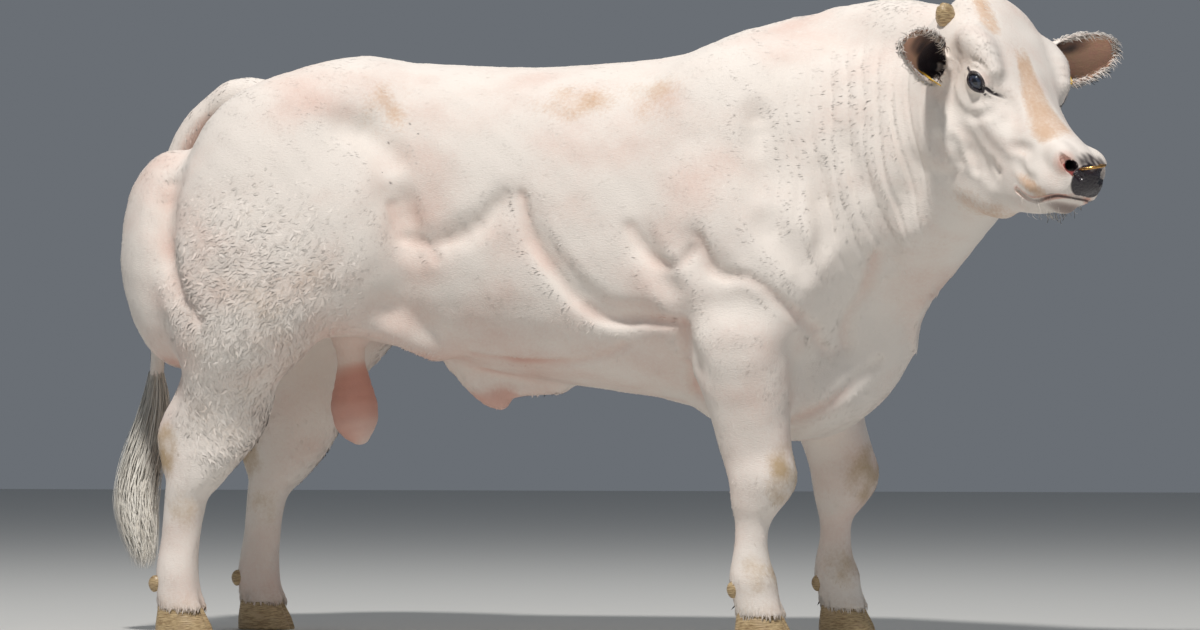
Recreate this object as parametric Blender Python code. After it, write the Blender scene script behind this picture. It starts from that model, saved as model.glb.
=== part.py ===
"""Belgian blue bull standing with its head turned to its right: a life-size still model in parts."""
import math

import bmesh
import bpy
import numpy as np
from mathutils import Matrix, Vector

# Metres here; X runs toward the head, Y to the animal's left, Z up, soles on Z = 0.
GAP = 0.0003
SIDES = (-1, 1)
NAMES = {-1: "right", 1: "left"}
SOLE = 0.075

# (x, top, bottom, half width, height of the widest place, squareness)
TORSO = [
    (-1.03, 1.04, 0.86, 0.05, 0.95, 2.0),
    (-0.95, 1.150, 0.79, 0.12, 0.99, 2.1),
    (-0.85, 1.270, 0.755, 0.19, 1.03, 2.2),
    (-0.72, 1.358, 0.735, 0.24, 1.06, 2.3),
    (-0.60, 1.398, 0.715, 0.27, 1.06, 2.4),
    (-0.42, 1.378, 0.675, 0.29, 1.03, 2.5),
    (-0.20, 1.364, 0.620, 0.325, 0.98, 2.5),
    (0.02, 1.364, 0.588, 0.348, 0.95, 2.5),
    (0.22, 1.382, 0.550, 0.335, 0.95, 2.4),
    (0.40, 1.412, 0.495, 0.30, 0.97, 2.3),
    (0.54, 1.405, 0.495, 0.25, 1.00, 2.2),
    (0.66, 1.34, 0.575, 0.18, 1.00, 2.1),
    (0.76, 1.20, 0.70, 0.08, 0.98, 2.0),
]
HEAD_AT = np.array([1.040, -0.352, 1.222])
HEAD_TURN = (-34.0, -43.0, -7.0)
# The same columns for the head, along its own axis from the poll to the muzzle.
SKULL = [
    (-0.275, 0.075, -0.05, 0.05, 0.02, 2.0),
    (-0.235, 0.124, -0.12, 0.108, 0.03, 2.2),
    (-0.16, 0.147, -0.190, 0.132, 0.03, 2.6),
    (-0.07, 0.134, -0.214, 0.132, 0.03, 2.9),
    (0.0, 0.103, -0.220, 0.121, 0.02, 2.8),
    (0.07, 0.066, -0.214, 0.100, -0.01, 2.5),
    (0.14, 0.048, -0.196, 0.083, -0.035, 2.4),
    (0.20, 0.041, -0.172, 0.073, -0.04, 2.3),
    (0.25, 0.038, -0.144, 0.069, -0.04, 2.3),
    (0.295, 0.028, -0.104, 0.062, -0.035, 2.2),
    (0.330, 0.0, -0.062, 0.040, -0.030, 2.0),
]
EYE = (0.0, 0.113, 0.029, 0.024)
FORE = {-1: (0.0, 0.25), 1: (0.098, 0.225)}
HIND = {-1: (0.0, 0.235), 1: (0.045, 0.205)}
FORE_FOOT = 0.447
HIND_FOOT = -0.968


def unit(v):
    v = np.asarray(v, float)
    return v / np.linalg.norm(v)


def turned(pitch=0.0, yaw=0.0, roll=0.0):
    """Rows are the forward, left and up axes of a piece pitched nose up, yawed left, rolled right."""
    p, w, r = np.radians([pitch, yaw, roll])
    forward = np.array([np.cos(p) * np.cos(w), np.cos(p) * np.sin(w), np.sin(p)])
    left = np.array([-np.sin(w), np.cos(w), 0.0])
    up = np.cross(forward, left)
    left, up = left * np.cos(r) + up * np.sin(r), up * np.cos(r) - left * np.sin(r)
    return np.array([forward, left, up])


HEAD_AXES = turned(*HEAD_TURN)


def curve(at, xs, ys):
    """A smooth line through the points, read at any place."""
    xs, ys = np.asarray(xs, float), np.asarray(ys, float)
    slope = np.gradient(ys, xs)
    i = np.clip(np.searchsorted(xs, at) - 1, 0, len(xs) - 2)
    h = xs[i + 1] - xs[i]
    t = np.clip((at - xs[i]) / h, 0, 1)
    rise = ys[i] * (1 + 2 * t) * (1 - t) ** 2 + ys[i + 1] * t * t * (3 - 2 * t)
    return rise + h * (slope[i] * t * (1 - t) ** 2 - slope[i + 1] * t * t * (1 - t))


def smooth(points, cuts=3):
    """The same chain of points with more of them along a smooth curve."""
    p = np.asarray(points, float)
    if len(p) < 3:
        return p
    along = np.concatenate([[0], np.cumsum(np.linalg.norm(np.diff(p[:, :3], axis=0), axis=1))])
    at = np.interp(np.arange((len(p) - 1) * cuts + 1) / cuts, np.arange(len(p)), along)
    return np.stack([curve(at, along, p[:, k]) for k in range(p.shape[1])], 1)


class Egg:
    def __init__(self, centre, radii, axes=None):
        self.centre = np.asarray(centre, float)
        self.radii = np.asarray(radii, float)
        self.axes = np.eye(3) if axes is None else np.asarray(axes)
        reach = np.sqrt(((self.axes * self.radii[:, None]) ** 2).sum(0))
        self.low, self.high = self.centre - reach, self.centre + reach

    def distance(self, x, y, z):
        d = [x - self.centre[0], y - self.centre[1], z - self.centre[2]]
        near = far = 0.0
        for axis, r in zip(self.axes, self.radii):
            q = axis[0] * d[0] + axis[1] * d[1] + axis[2] * d[2]
            near = near + (q / r) ** 2
            far = far + (q / (r * r)) ** 2
        near = np.sqrt(near)
        return near * (near - 1) / np.maximum(np.sqrt(far), 1e-6)


class Limb:
    """A smooth chain of round cones through (x, y, z, radius), squeezed along its side axis."""

    def __init__(self, points, side=(0, 1, 0), flat=1.0, cuts=3):
        p = smooth(points, cuts)
        self.points, self.side, self.flat = p, unit(side), flat
        r = p[:, 3].max() * max(1.0, flat)
        self.low, self.high = p[:, :3].min(0) - r, p[:, :3].max(0) + r

    def distance(self, x, y, z):
        best = None
        s = self.side
        for a, b in zip(self.points[:-1], self.points[1:]):
            ab = b[:3] - a[:3]
            dx, dy, dz = x - a[0], y - a[1], z - a[2]
            t = np.clip((dx * ab[0] + dy * ab[1] + dz * ab[2]) / (ab @ ab), 0, 1)
            r = a[3] + (b[3] - a[3]) * t
            dx, dy, dz = dx - ab[0] * t, dy - ab[1] * t, dz - ab[2] * t
            across = dx * s[0] + dy * s[1] + dz * s[2]
            rest = dx * dx + dy * dy + dz * dz - across * across
            d = np.sqrt(np.maximum(rest + (across / self.flat) ** 2, 1e-12)) - r
            best = d if best is None else np.minimum(best, d)
        return best


class Barrel:
    """A loft along X over rows of (x, top, bottom, half width, widest height, squareness)."""

    def __init__(self, rows):
        r = np.asarray(rows, float)
        self.rows = r
        self.low = np.array([r[:, 0].min(), -r[:, 3].max(), r[:, 2].min()])
        self.high = np.array([r[:, 0].max(), r[:, 3].max(), r[:, 1].max()])

    def distance(self, x, y, z):
        xs = self.rows[:, 0]
        top, bottom, wide, waist, square = (curve(x, xs, self.rows[:, k]) for k in range(1, 6))
        up = np.where(z > waist, top - waist, waist - bottom)
        f = ((np.abs(y) / wide) ** square + (np.abs(z - waist) / up) ** square) ** (1 / square)
        side = (f - 1) * np.minimum(up, wide) * 0.9
        return np.maximum(side, np.maximum(xs[0] - x, x - xs[-1]))


class Loft:
    """A smooth tube along X over rows of (x, y centre, z centre, half y, half z, squareness)."""

    def __init__(self, rows):
        r = np.asarray(rows, float)
        self.rows = r
        self.low = np.array([r[:, 0].min(), (r[:, 1] - r[:, 3]).min(), (r[:, 2] - r[:, 4]).min()])
        self.high = np.array([r[:, 0].max(), (r[:, 1] + r[:, 3]).max(), (r[:, 2] + r[:, 4]).max()])

    def distance(self, x, y, z):
        xs = self.rows[:, 0]
        cy, cz, wide, tall, square = (curve(x, xs, self.rows[:, k]) for k in range(1, 6))
        f = ((np.abs(y - cy) / wide) ** square + (np.abs(z - cz) / tall) ** square) ** (1 / square)
        return np.maximum((f - 1) * np.minimum(wide, tall), np.maximum(xs[0] - x, x - xs[-1]))


class Placed:
    """A shape given in a frame of its own: its origin, and rows for its axes."""

    def __init__(self, shape, at, axes):
        self.shape, self.at, self.axes = shape, np.asarray(at, float), np.asarray(axes)
        middle = (shape.low + shape.high) / 2
        half = (shape.high - shape.low) / 2
        centre = self.at + middle @ self.axes
        reach = np.abs(self.axes).T @ half
        self.low, self.high = centre - reach, centre + reach

    def distance(self, x, y, z):
        d = [x - self.at[0], y - self.at[1], z - self.at[2]]
        local = [a[0] * d[0] + a[1] * d[1] + a[2] * d[2] for a in self.axes]
        return self.shape.distance(*local)


class Clay:
    """Shapes blended into each other, and the closed surface of the result inside a window."""

    def __init__(self):
        self.steps = []

    def add(self, shape, blend=0.02):
        self.steps.append((shape, blend, False))

    def carve(self, shape, blend=0.01):
        self.steps.append((shape, blend, True))

    def depth(self, points):
        """Signed distance of loose points from the surface, below zero inside."""
        x, y, z = np.asarray(points, float).T
        field = np.full(len(x), 1.0)
        for shape, blend, away in self.steps:
            field = self.mixed(field, shape.distance(x, y, z), blend, away)
        return field

    @staticmethod
    def mixed(old, new, blend, away):
        if away:
            h = np.clip(0.5 - 0.5 * (new + old) / blend, 0, 1)
            return old + (-new - old) * h + blend * h * (1 - h)
        h = np.clip(0.5 + 0.5 * (old - new) / blend, 0, 1)
        return old + (new - old) * h - blend * h * (1 - h)

    def surface(self, low, high, step):
        low = np.asarray(low, float)
        count = np.ceil((np.asarray(high) - low) / step).astype(int) + 1
        f = np.full(count, 1.0, np.float32)
        for shape, blend, away in self.steps:
            margin = blend + 3 * step
            a = np.clip(np.floor((shape.low - margin - low) / step).astype(int), 0, count)
            b = np.clip(np.ceil((shape.high + margin - low) / step).astype(int) + 1, 0, count)
            if (b <= a).any():
                continue
            part = tuple(slice(i, j) for i, j in zip(a, b))
            axes = [(low[k] + step * np.arange(a[k], b[k])).astype(np.float32) for k in range(3)]
            f[part] = self.mixed(f[part], shape.distance(*np.ix_(*axes)), blend, away)
        for axis in range(3):
            rim = [slice(None)] * 3
            for end in (0, -1):
                rim[axis] = end
                f[tuple(rim)] = np.maximum(f[tuple(rim)], step * 0.5)
        return nets(f, low, step)


def nets(f, low, step):
    """One point in each grid cell that the surface crosses, and a square for each crossed edge."""
    n = np.array(f.shape)
    inside = f < 0
    cell = tuple(n - 1)
    total = np.zeros((*cell, 3), np.float32)
    hits = np.zeros(cell, np.float32)
    for axis in range(3):
        others = [k for k in range(3) if k != axis]
        for u, v in ((0, 0), (0, 1), (1, 0), (1, 1)):
            first, second = [None] * 3, [None] * 3
            first[axis], second[axis] = slice(0, -1), slice(1, None)
            for k, o in zip(others, (u, v)):
                first[k] = second[k] = slice(o, n[k] - 1 + o)
            a, b = f[tuple(first)], f[tuple(second)]
            cross = (a < 0) != (b < 0)
            hits += cross
            total[..., axis] += np.where(cross, a / np.where(cross, a - b, 1), 0)
            total[..., others[0]] += np.where(cross, u, 0)
            total[..., others[1]] += np.where(cross, v, 0)
    live = hits > 0
    number = np.full(cell, -1, np.int64)
    number[live] = np.arange(live.sum())
    points = low + step * (np.argwhere(live) + total[live] / hits[live][:, None])
    squares = []
    for axis in range(3):
        b, c = [(1, 2), (2, 0), (0, 1)][axis]
        first, second = [slice(1, -1)] * 3, [slice(1, -1)] * 3
        first[axis], second[axis] = slice(0, -1), slice(1, None)
        s, e = inside[tuple(first)], inside[tuple(second)]
        for flip in (False, True):
            base = np.argwhere(~s & e if flip else s & ~e)
            base[:, b] += 1
            base[:, c] += 1
            ring = []
            for db, dc in ((-1, -1), (0, -1), (0, 0), (-1, 0)):
                q = base.copy()
                q[:, b] += db
                q[:, c] += dc
                ring.append(number[tuple(q.T)])
            ring = np.stack(ring, 1)
            squares.append(ring[:, ::-1] if flip else ring)
    return points, np.concatenate(squares)


def on_head(*p):
    return HEAD_AT + np.array(p, float) @ HEAD_AXES


def trunk(c):
    c.add(Barrel(TORSO), 0.02)
    for s in SIDES:
        c.add(Egg((-0.70, s * 0.165, 1.205), (0.27, 0.165, 0.145), turned(pitch=18)), 0.06)
        c.add(Egg((-0.755, s * 0.262, 0.965), (0.235, 0.145, 0.35), turned(pitch=-10)), 0.05)
        c.add(Egg((-0.555, s * 0.235, 0.965), (0.14, 0.13, 0.235), turned(pitch=-6)), 0.06)
        c.add(Egg((-0.995, s * 0.188, 0.905), (0.143, 0.145, 0.265), turned(pitch=3)), 0.045)
        c.add(Limb([(-0.62, s * 0.24, 0.80, 0.06), (-0.50, s * 0.22, 0.745, 0.03), (-0.36, s * 0.16, 0.69, 0.03)]), 0.06)
        c.add(Egg((0.36, s * 0.185, 1.12), (0.20, 0.15, 0.26), turned(pitch=-14)), 0.08)
        c.add(Egg((0.33, s * 0.255, 0.87), (0.17, 0.13, 0.20), turned(pitch=-20)), 0.06)
        c.add(Egg((0.50, s * 0.235, 0.87), (0.13, 0.135, 0.19), turned(pitch=-8)), 0.07)
        c.add(Egg((0.46, s * 0.08, 0.585), (0.19, 0.12, 0.11)), 0.05)
        c.add(Egg((-0.79, s * 0.30, 0.83), (0.19, 0.105, 0.21), turned(pitch=-14)), 0.06)
        c.add(Egg((0.335, s * 0.30, 0.985), (0.115, 0.075, 0.13), turned(pitch=-20)), 0.06)
    c.carve(Limb([(-0.95, 0, 1.22, 0.012), (-0.60, 0, 1.41, 0.014), (-0.2, 0, 1.375, 0.014), (0.15, 0, 1.385, 0.01)]), 0.05)


# Lines where one muscle meets the next, as (x, z) on the side of the body, the groove's radius and its softness.
CREASES = [
    ([(-0.975, 1.10), (-0.982, 1.06), (-0.982, 0.99), (-0.975, 0.92), (-0.955, 0.86), (-0.932, 0.80), (-0.90, 0.74)], 0.014, 0.055),
    ([(-0.42, 1.07), (-0.395, 0.99), (-0.384, 0.945), (-0.362, 0.90)], 0.013, 0.055),
    ([(-0.362, 0.925), (-0.31, 0.93), (-0.247, 0.95), (-0.194, 0.973), (-0.144, 1.023), (-0.105, 1.045)], 0.009, 0.055),
    ([(-0.10, 1.045), (-0.079, 0.957), (-0.028, 0.883), (0.036, 0.808), (0.088, 0.764), (0.183, 0.745), (0.265, 0.735)], 0.010, 0.055),
    ([(0.164, 0.954), (0.207, 0.891), (0.249, 0.822), (0.284, 0.769)], 0.009, 0.055),
    ([(0.30, 0.95), (0.345, 0.87), (0.40, 0.832)], 0.010, 0.055),
    ([(0.285, 0.76), (0.285, 0.69), (0.31, 0.62)], 0.013, 0.055),
    ([(0.446, 1.231), (0.458, 1.183), (0.464, 1.138)], 0.008, 0.055),
    ([(0.483, 0.978), (0.512, 0.921), (0.555, 0.871)], 0.009, 0.055),
    ([(-0.56, 1.23), (-0.47, 1.17), (-0.40, 1.10)], 0.011, 0.055),
]
NECK_CREASES = [
    ([(0.648, 1.175), (0.671, 1.102), (0.694, 1.045), (0.721, 0.999)], 0.008, 0.040),
    ([(0.588, 1.115), (0.606, 1.012), (0.615, 0.933), (0.61, 0.871)], 0.008, 0.040),
    ([(0.721, 1.008), (0.745, 0.919), (0.739, 0.84)], 0.010, 0.040),
    ([(0.541, 0.938), (0.564, 0.876), (0.58, 0.833)], 0.010, 0.040),
    ([(0.815, 1.263), (0.826, 1.128), (0.803, 1.018), (0.785, 0.95)], 0.012, 0.060),
]


def crease(c, s, line, radius, blend):
    """A groove along the body's own side: each place is found by walking in from outside."""
    points = smooth([(x, 0, z, radius) for x, z in line], 3)
    reach = np.linspace(0.60, 0.0, 121)
    path = []
    for i, (x, _, z, r) in enumerate(points):
        fade = blend * (2 * i / (len(points) - 1) - 1) ** 4
        depth = c.depth(np.stack([np.full_like(reach, x), s * reach, np.full_like(reach, z)], 1))
        inside = np.flatnonzero(depth < 0)
        if len(inside):
            path.append((x, s * (reach[inside[0]] + 0.005 + fade), z, r))
    return Limb(path, cuts=1), blend


def grooves(c):
    lines = [crease(c, s, *row) for s in SIDES for row in CREASES] + [crease(c, -1, *row) for row in NECK_CREASES]
    for shape, blend in lines:
        c.carve(shape, blend)


def throat(c):
    """The neck as sections across the line from the chest to the poll."""
    forward = unit((0.80, -0.30, 0.16))
    side = unit(np.cross((0, 0, 1), forward))
    axes = np.array([forward, side, np.cross(forward, side)])
    rows = [(-0.34, 0.0, -0.04, 0.10, 0.12, 2.0), (-0.20, 0.0, -0.03, 0.20, 0.27, 2.1), (-0.06, 0.0, -0.01, 0.25, 0.34, 2.2), (0.06, 0.0, 0.005, 0.262, 0.36, 2.2), (0.20, -0.012, 0.012, 0.235, 0.325, 2.2),
            (0.34, -0.03, 0.012, 0.190, 0.285, 2.2), (0.46, -0.05, 0.012, 0.145, 0.245, 2.2), (0.57, -0.065, 0.0, 0.112, 0.20, 2.1),
            (0.68, -0.075, -0.01, 0.09, 0.14, 2.0)]
    c.add(Placed(Loft(rows), (0.42, 0.01, 1.045), axes), 0.08)
    c.add(Limb([(0.44, 0, 1.33, 0.075), (0.56, -0.02, 1.39, 0.08), (0.68, -0.075, 1.405, 0.085), (0.80, -0.16, 1.395, 0.082),
                (0.91, -0.235, 1.37, 0.072)],
               side), 0.06)
    c.add(Limb([(0.88, -0.18, 1.04, 0.10), (0.78, -0.10, 0.93, 0.115), (0.68, -0.03, 0.80, 0.10), (0.61, 0, 0.66, 0.10)],
               side, 0.75), 0.09)


def leg(c, s, stance, rows):
    """Rows are (height, x, half length, half width, out from the stance) down one leg."""
    dx, y = stance[s]
    loft = []
    for z, x, along, wide, out in rows:
        loft.append((-z, s * (y + out), x + dx * min(1.0, max(0.0, (0.80 - z) / 0.35)), wide, along, 2.25))
    c.add(Placed(Loft(loft), (0, 0, 0), [(0, 0, -1), (0, 1, 0), (1, 0, 0)]), 0.045)


def foreleg(c, s):
    leg(c, s, FORE, [(0.86, 0.395, 0.04, 0.03, -0.03), (0.80, 0.395, 0.10, 0.08, -0.01), (0.72, 0.400, 0.130, 0.110, 0.020), (0.657, 0.4053, 0.1187, 0.108, 0.022),
                     (0.588, 0.4159, 0.106, 0.095, 0.015), (0.502, 0.4266, 0.0913, 0.078, 0.006), (0.424, 0.4396, 0.0833, 0.066, 0.0),
                     (0.365, 0.4443, 0.0742, 0.064, 0.0), (0.315, 0.4384, 0.0594, 0.054, 0.0), (0.285, 0.4301, 0.0455, 0.041, 0.0),
                     (0.235, 0.4254, 0.040, 0.036, 0.0), (0.196, 0.4242, 0.0450, 0.042, 0.0), (0.153, 0.4289, 0.0548, 0.054, 0.0),
                     (0.107, 0.4370, 0.0560, 0.053, 0.0), (0.07, 0.4480, 0.060, 0.056, 0.0), (0.03, 0.452, 0.064, 0.058, 0.0)])
    dx, y = FORE[s]
    c.add(Egg((0.462 + dx, s * y, 0.385), (0.065, 0.066, 0.062)), 0.03)


def hindleg(c, s):
    leg(c, s, HIND, [(0.88, -0.79, 0.04, 0.03, -0.02), (0.80, -0.80, 0.12, 0.09, 0.01), (0.72, -0.815, 0.142, 0.112, 0.025), (0.66, -0.83, 0.128, 0.105, 0.025),
                     (0.602, -0.8436, 0.1157, 0.092, 0.015), (0.562, -0.8534, 0.1145, 0.082, 0.008), (0.526, -0.8707, 0.120, 0.073, 0.003),
                     (0.481, -0.8905, 0.118, 0.066, 0.0), (0.421, -0.9127, 0.0943, 0.062, 0.0), (0.366, -0.9374, 0.0700, 0.056, 0.0),
                     (0.330, -0.9572, 0.0545, 0.047, 0.0), (0.292, -0.9646, 0.0505, 0.041, 0.0), (0.218, -0.9745, 0.0500, 0.038, 0.0),
                     (0.146, -0.9806, 0.0535, 0.052, 0.0), (0.107, -0.976, 0.055, 0.052, 0.0), (0.07, -0.967, 0.060, 0.056, 0.0),
                     (0.03, -0.963, 0.064, 0.058, 0.0)])
    dx, y = HIND[s]
    heel = [(-0.92, y + 0.01, 0.62, 0.028), (-0.985, y, 0.53, 0.026), (-1.0, y, 0.478, 0.030), (-0.985, y, 0.42, 0.03)]
    c.add(Limb([(x + dx, s * w, z, r) for x, w, z, r in heel], flat=0.8), 0.035)


def face(c):
    def egg(at, radii, blend, pitch=0, yaw=0, roll=0):
        c.add(Egg(on_head(*at), radii, turned(pitch, yaw, roll) @ HEAD_AXES), blend)

    def line(points, blend, flat=1.0):
        c.add(Limb([(*on_head(*p[:3]), p[3]) for p in points], HEAD_AXES[1], flat), blend)

    c.add(Placed(Barrel(SKULL), HEAD_AT, HEAD_AXES), 0.035)
    egg((-0.180, 0, 0.118), (0.075, 0.090, 0.040), 0.03, pitch=-6)
    line([(0.02, 0, 0.045, 0.040), (0.14, 0, 0.010, 0.037), (0.26, 0, 0.004, 0.031)], 0.02)
    egg((0.294, 0, -0.008), (0.040, 0.061, 0.041), 0.02)
    egg((0.314, 0, -0.020), (0.029, 0.046, 0.027), 0.02)
    egg((0.278, 0, -0.092), (0.042, 0.042, 0.026), 0.016)
    for s in SIDES:
        egg((-0.008, s * 0.096, 0.034), (0.048, 0.028, 0.036), 0.02)
        line([(-0.085, s * 0.112, 0.094, 0.027), (-0.035, s * 0.112, 0.092, 0.025), (0.020, s * 0.104, 0.073, 0.013)], 0.03)
        line([(0.045, s * 0.098, -0.022, 0.011), (0.09, s * 0.088, -0.036, 0.012), (0.15, s * 0.072, -0.046, 0.010)], 0.03)
        line([(-0.022, s * 0.111, -0.004, 0.007), (0.004, s * 0.113, -0.012, 0.008), (0.030, s * 0.109, -0.006, 0.006)], 0.015)
        egg((-0.06, s * 0.082, -0.115), (0.098, 0.045, 0.085), 0.03, pitch=24)
        egg((0.250, s * 0.042, -0.060), (0.080, 0.033, 0.036), 0.018, pitch=10)
        egg((0.272, s * 0.046, 0.008), (0.045, 0.026, 0.029), 0.015)
        x, y, z = EAR_SET[s][0]
        line([(x - 0.02, y * 0.68, z * 0.7, 0.040), (x - 0.004, y * 0.95, z, 0.024)], 0.03)


def jaw_root(c):
    c.add(Egg(on_head(0.05, 0, -0.20), (0.10, 0.05, 0.035), HEAD_AXES), 0.04)


def face_marks(c):
    """The small hollows of the head: nostrils, the line of the mouth, the corners of the eyes."""
    def cut(points, blend):
        c.carve(Limb([(*on_head(*p[:3]), p[3]) for p in points]), blend)

    cut([(0.347, 0, 0.008, 0.006), (0.360, 0, -0.020, 0.007), (0.356, 0, -0.046, 0.006)], 0.010)
    for s in SIDES:
        cut([(0.185, s * 0.074, -0.112, 0.005), (0.215, s * 0.064, -0.115, 0.005), (0.258, s * 0.056, -0.112, 0.005),
             (0.292, s * 0.052, -0.085, 0.005), (0.325, s * 0.040, -0.062, 0.004)], 0.010)
        cut([(0.338, s * 0.030, -0.004, 0.008), (0.318, s * 0.048, 0.010, 0.012), (0.292, s * 0.066, 0.018, 0.008)], 0.01)
        cut([(0.028, s * 0.128, 0.016, 0.004), (0.045, s * 0.122, 0.002, 0.005), (0.06, s * 0.116, -0.008, 0.004)], 0.012)


def lids(c):
    """A rim over and a rim under each eyeball, following its curve."""
    x, y, z, r = EYE
    reach = r + 0.0015
    for s in SIDES:
        c.add(Egg(on_head(x, s * y, z), (r, r, r)), 0.004)
        for rise in (1, -1):
            arc = []
            for a in np.linspace(0.0, math.pi, 9):
                along, up = 0.0225 * math.cos(a), rise * 0.0165 * math.sin(a) - 0.004 * math.cos(a)
                out = math.sqrt(reach ** 2 - along ** 2 - min(up ** 2, 0.0002))
                arc.append((*on_head(x + along, s * (y + out), z + up), 0.0052))
            c.add(Limb(arc, cuts=1), 0.008)


def whole():
    c = Clay()
    trunk(c)
    throat(c)
    for s in SIDES:
        foreleg(c, s)
        hindleg(c, s)
    grooves(c)
    c.add(Limb([(-0.30, 0, 0.63, 0.05), (-0.27, 0, 0.585, 0.036), (-0.245, 0, 0.56, 0.02)]), 0.04)
    c.add(Limb([(-0.36, 0, 0.655, 0.02), (-0.20, 0, 0.595, 0.022), (-0.10, 0, 0.60, 0.02)]), 0.04)
    c.add(Limb([(-0.63, 0, 0.74, 0.05), (-0.625, 0, 0.66, 0.032), (-0.620, 0, 0.60, 0.045), (-0.612, 0, 0.525, 0.055),
                (-0.602, 0, 0.487, 0.030)]), 0.02)
    face(c)
    jaw_root(c)
    face_marks(c)
    lids(c)
    return c


def mesh(name, points, faces):
    data = bpy.data.meshes.new(name)
    data.from_pydata([tuple(map(float, p)) for p in points], [], [tuple(map(int, f)) for f in faces])
    obj = bpy.data.objects.new(name, data)
    bpy.context.scene.collection.objects.link(obj)
    return obj


def drop(*objects):
    for obj in objects:
        bpy.data.objects.remove(obj)


def applied(obj):
    """Keeps what the modifiers make of the mesh, and takes them off."""
    graph = bpy.context.evaluated_depsgraph_get()
    data = bpy.data.meshes.new_from_object(obj.evaluated_get(graph), depsgraph=graph)
    obj.modifiers.clear()
    obj.data = data
    return obj


def combine(obj, other, operation):
    m = obj.modifiers.new("combine", "BOOLEAN")
    m.operation, m.solver, m.object = operation, "EXACT", other
    return applied(obj)


def reduced(obj, triangles):
    count = sum(len(p.vertices) - 2 for p in obj.data.polygons)
    m = obj.modifiers.new("fewer", "DECIMATE")
    m.ratio = min(1.0, triangles / count)
    return applied(obj)


def copied(obj, name):
    twin = obj.copy()
    twin.data = obj.data.copy()
    twin.name = name
    bpy.context.scene.collection.objects.link(twin)
    return twin


def grown(obj, by=GAP):
    """A copy whose faces stand out by the gap, to cut the piece beside it with."""
    twin = copied(obj, obj.name + "_room")
    twin.data.update()
    for v, n in zip(twin.data.vertices, [v.normal.copy() for v in twin.data.vertices]):
        v.co += n * by * 1.4
    return twin


def make_room(obj, *pieces, by=GAP):
    for piece in pieces:
        room = grown(piece, by)
        combine(obj, room, "DIFFERENCE")
        drop(room)


def box(low, high, by=0.0, turn=None, at=None):
    """A block between two corners, made larger all round, or turned into a frame."""
    lo, hi = np.array(low) - by, np.array(high) + by
    points = np.array([[(lo, hi)[i][0], (lo, hi)[j][1], (lo, hi)[k][2]] for i in (0, 1) for j in (0, 1) for k in (0, 1)])
    faces = [(0, 1, 3, 2), (4, 6, 7, 5), (0, 4, 5, 1), (2, 3, 7, 6), (0, 2, 6, 4), (1, 5, 7, 3)]
    if turn is not None:
        points = np.array(at) + points @ turn
    return mesh("block", points, faces)


def shaped(clay, name, low, high, step, triangles):
    """The clay inside a window as a closed mesh, drawn onto the form and then simplified."""
    for shift in np.arange(0, 1, 0.2) * step:
        points, faces = clay.surface(np.array(low) - shift, high, step)
        sides = np.sort(np.concatenate([faces[:, [k, (k + 1) % 4]] for k in range(4)]), axis=1)
        if np.unique(sides, axis=0, return_counts=True)[1].max() == 2:
            break
    e = step * 0.2
    low, high = np.array(low), np.array(high)
    free = ((points > low + 2 * step) & (points < high - 2.5 * step)).all(1)
    for _ in range(2):
        p = points[free]
        d = clay.depth(p)
        g = np.stack([(clay.depth(p + e * k) - clay.depth(p - e * k)) / (2 * e) for k in np.eye(3)], 1)
        move = -d[:, None] * g / np.maximum((g * g).sum(1), 0.3)[:, None]
        size = np.linalg.norm(move, axis=1, keepdims=True)
        points[free] = p + move * np.minimum(1, 0.4 * step / np.maximum(size, 1e-9))
    obj = mesh(name, points, faces)
    return reduced(obj, triangles)


def ball(name, centre, radii, around, rings, turn=None):
    bm = bmesh.new()
    bmesh.ops.create_uvsphere(bm, u_segments=around, v_segments=rings, radius=1.0)
    data = bpy.data.meshes.new(name)
    bm.to_mesh(data)
    bm.free()
    obj = bpy.data.objects.new(name, data)
    bpy.context.scene.collection.objects.link(obj)
    rows = np.eye(3) if turn is None else np.asarray(turn)
    for v in data.vertices:
        v.co = Vector(np.asarray(centre) + (np.array(v.co) * radii) @ rows)
    return obj


def tube(name, rings, closed=False):
    """Equal rings of points joined into one solid."""
    n = len(rings[0])
    points = [p for ring in rings for p in ring]
    faces = []
    count = len(rings)
    for i in range(count if closed else count - 1):
        a, b = i * n, (i + 1) % count * n
        faces += [(a + k, a + (k + 1) % n, b + (k + 1) % n, b + k) for k in range(n)]
    if not closed:
        faces += [tuple(range(n))[::-1], tuple(range((count - 1) * n, count * n))]
    obj = mesh(name, points, faces)
    bm = bmesh.new()
    bm.from_mesh(obj.data)
    bmesh.ops.recalc_face_normals(bm, faces=bm.faces)
    bm.to_mesh(obj.data)
    bm.free()
    return obj


def round_tube(name, points, around, up=(0, 1, 0), squash=1.0):
    """A tube of rings set across a smooth path of (x, y, z, radius)."""
    p = np.asarray(points, float)
    way = np.gradient(p[:, :3], axis=0)
    rings = []
    for q, w in zip(p, way):
        side = unit(np.cross(np.cross(w, up), w))
        other = unit(np.cross(w, side))
        turn = np.linspace(0, 2 * math.pi, around, endpoint=False)
        rings.append([q[:3] + q[3] * (math.cos(t) * side * squash + math.sin(t) * other) for t in turn])
    return tube(name, rings)


# (x, z, radius) down the middle of the tail.
TAIL = [(-0.80, 1.275, 0.046), (-0.86, 1.305, 0.042), (-0.925, 1.31, 0.037), (-0.995, 1.275, 0.034), (-1.055, 1.205, 0.031),
        (-1.09, 1.12, 0.028), (-1.108, 1.02, 0.026), (-1.118, 0.90, 0.024), (-1.122, 0.78, 0.022), (-1.125, 0.68, 0.020),
        (-1.128, 0.62, 0.018)]
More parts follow.
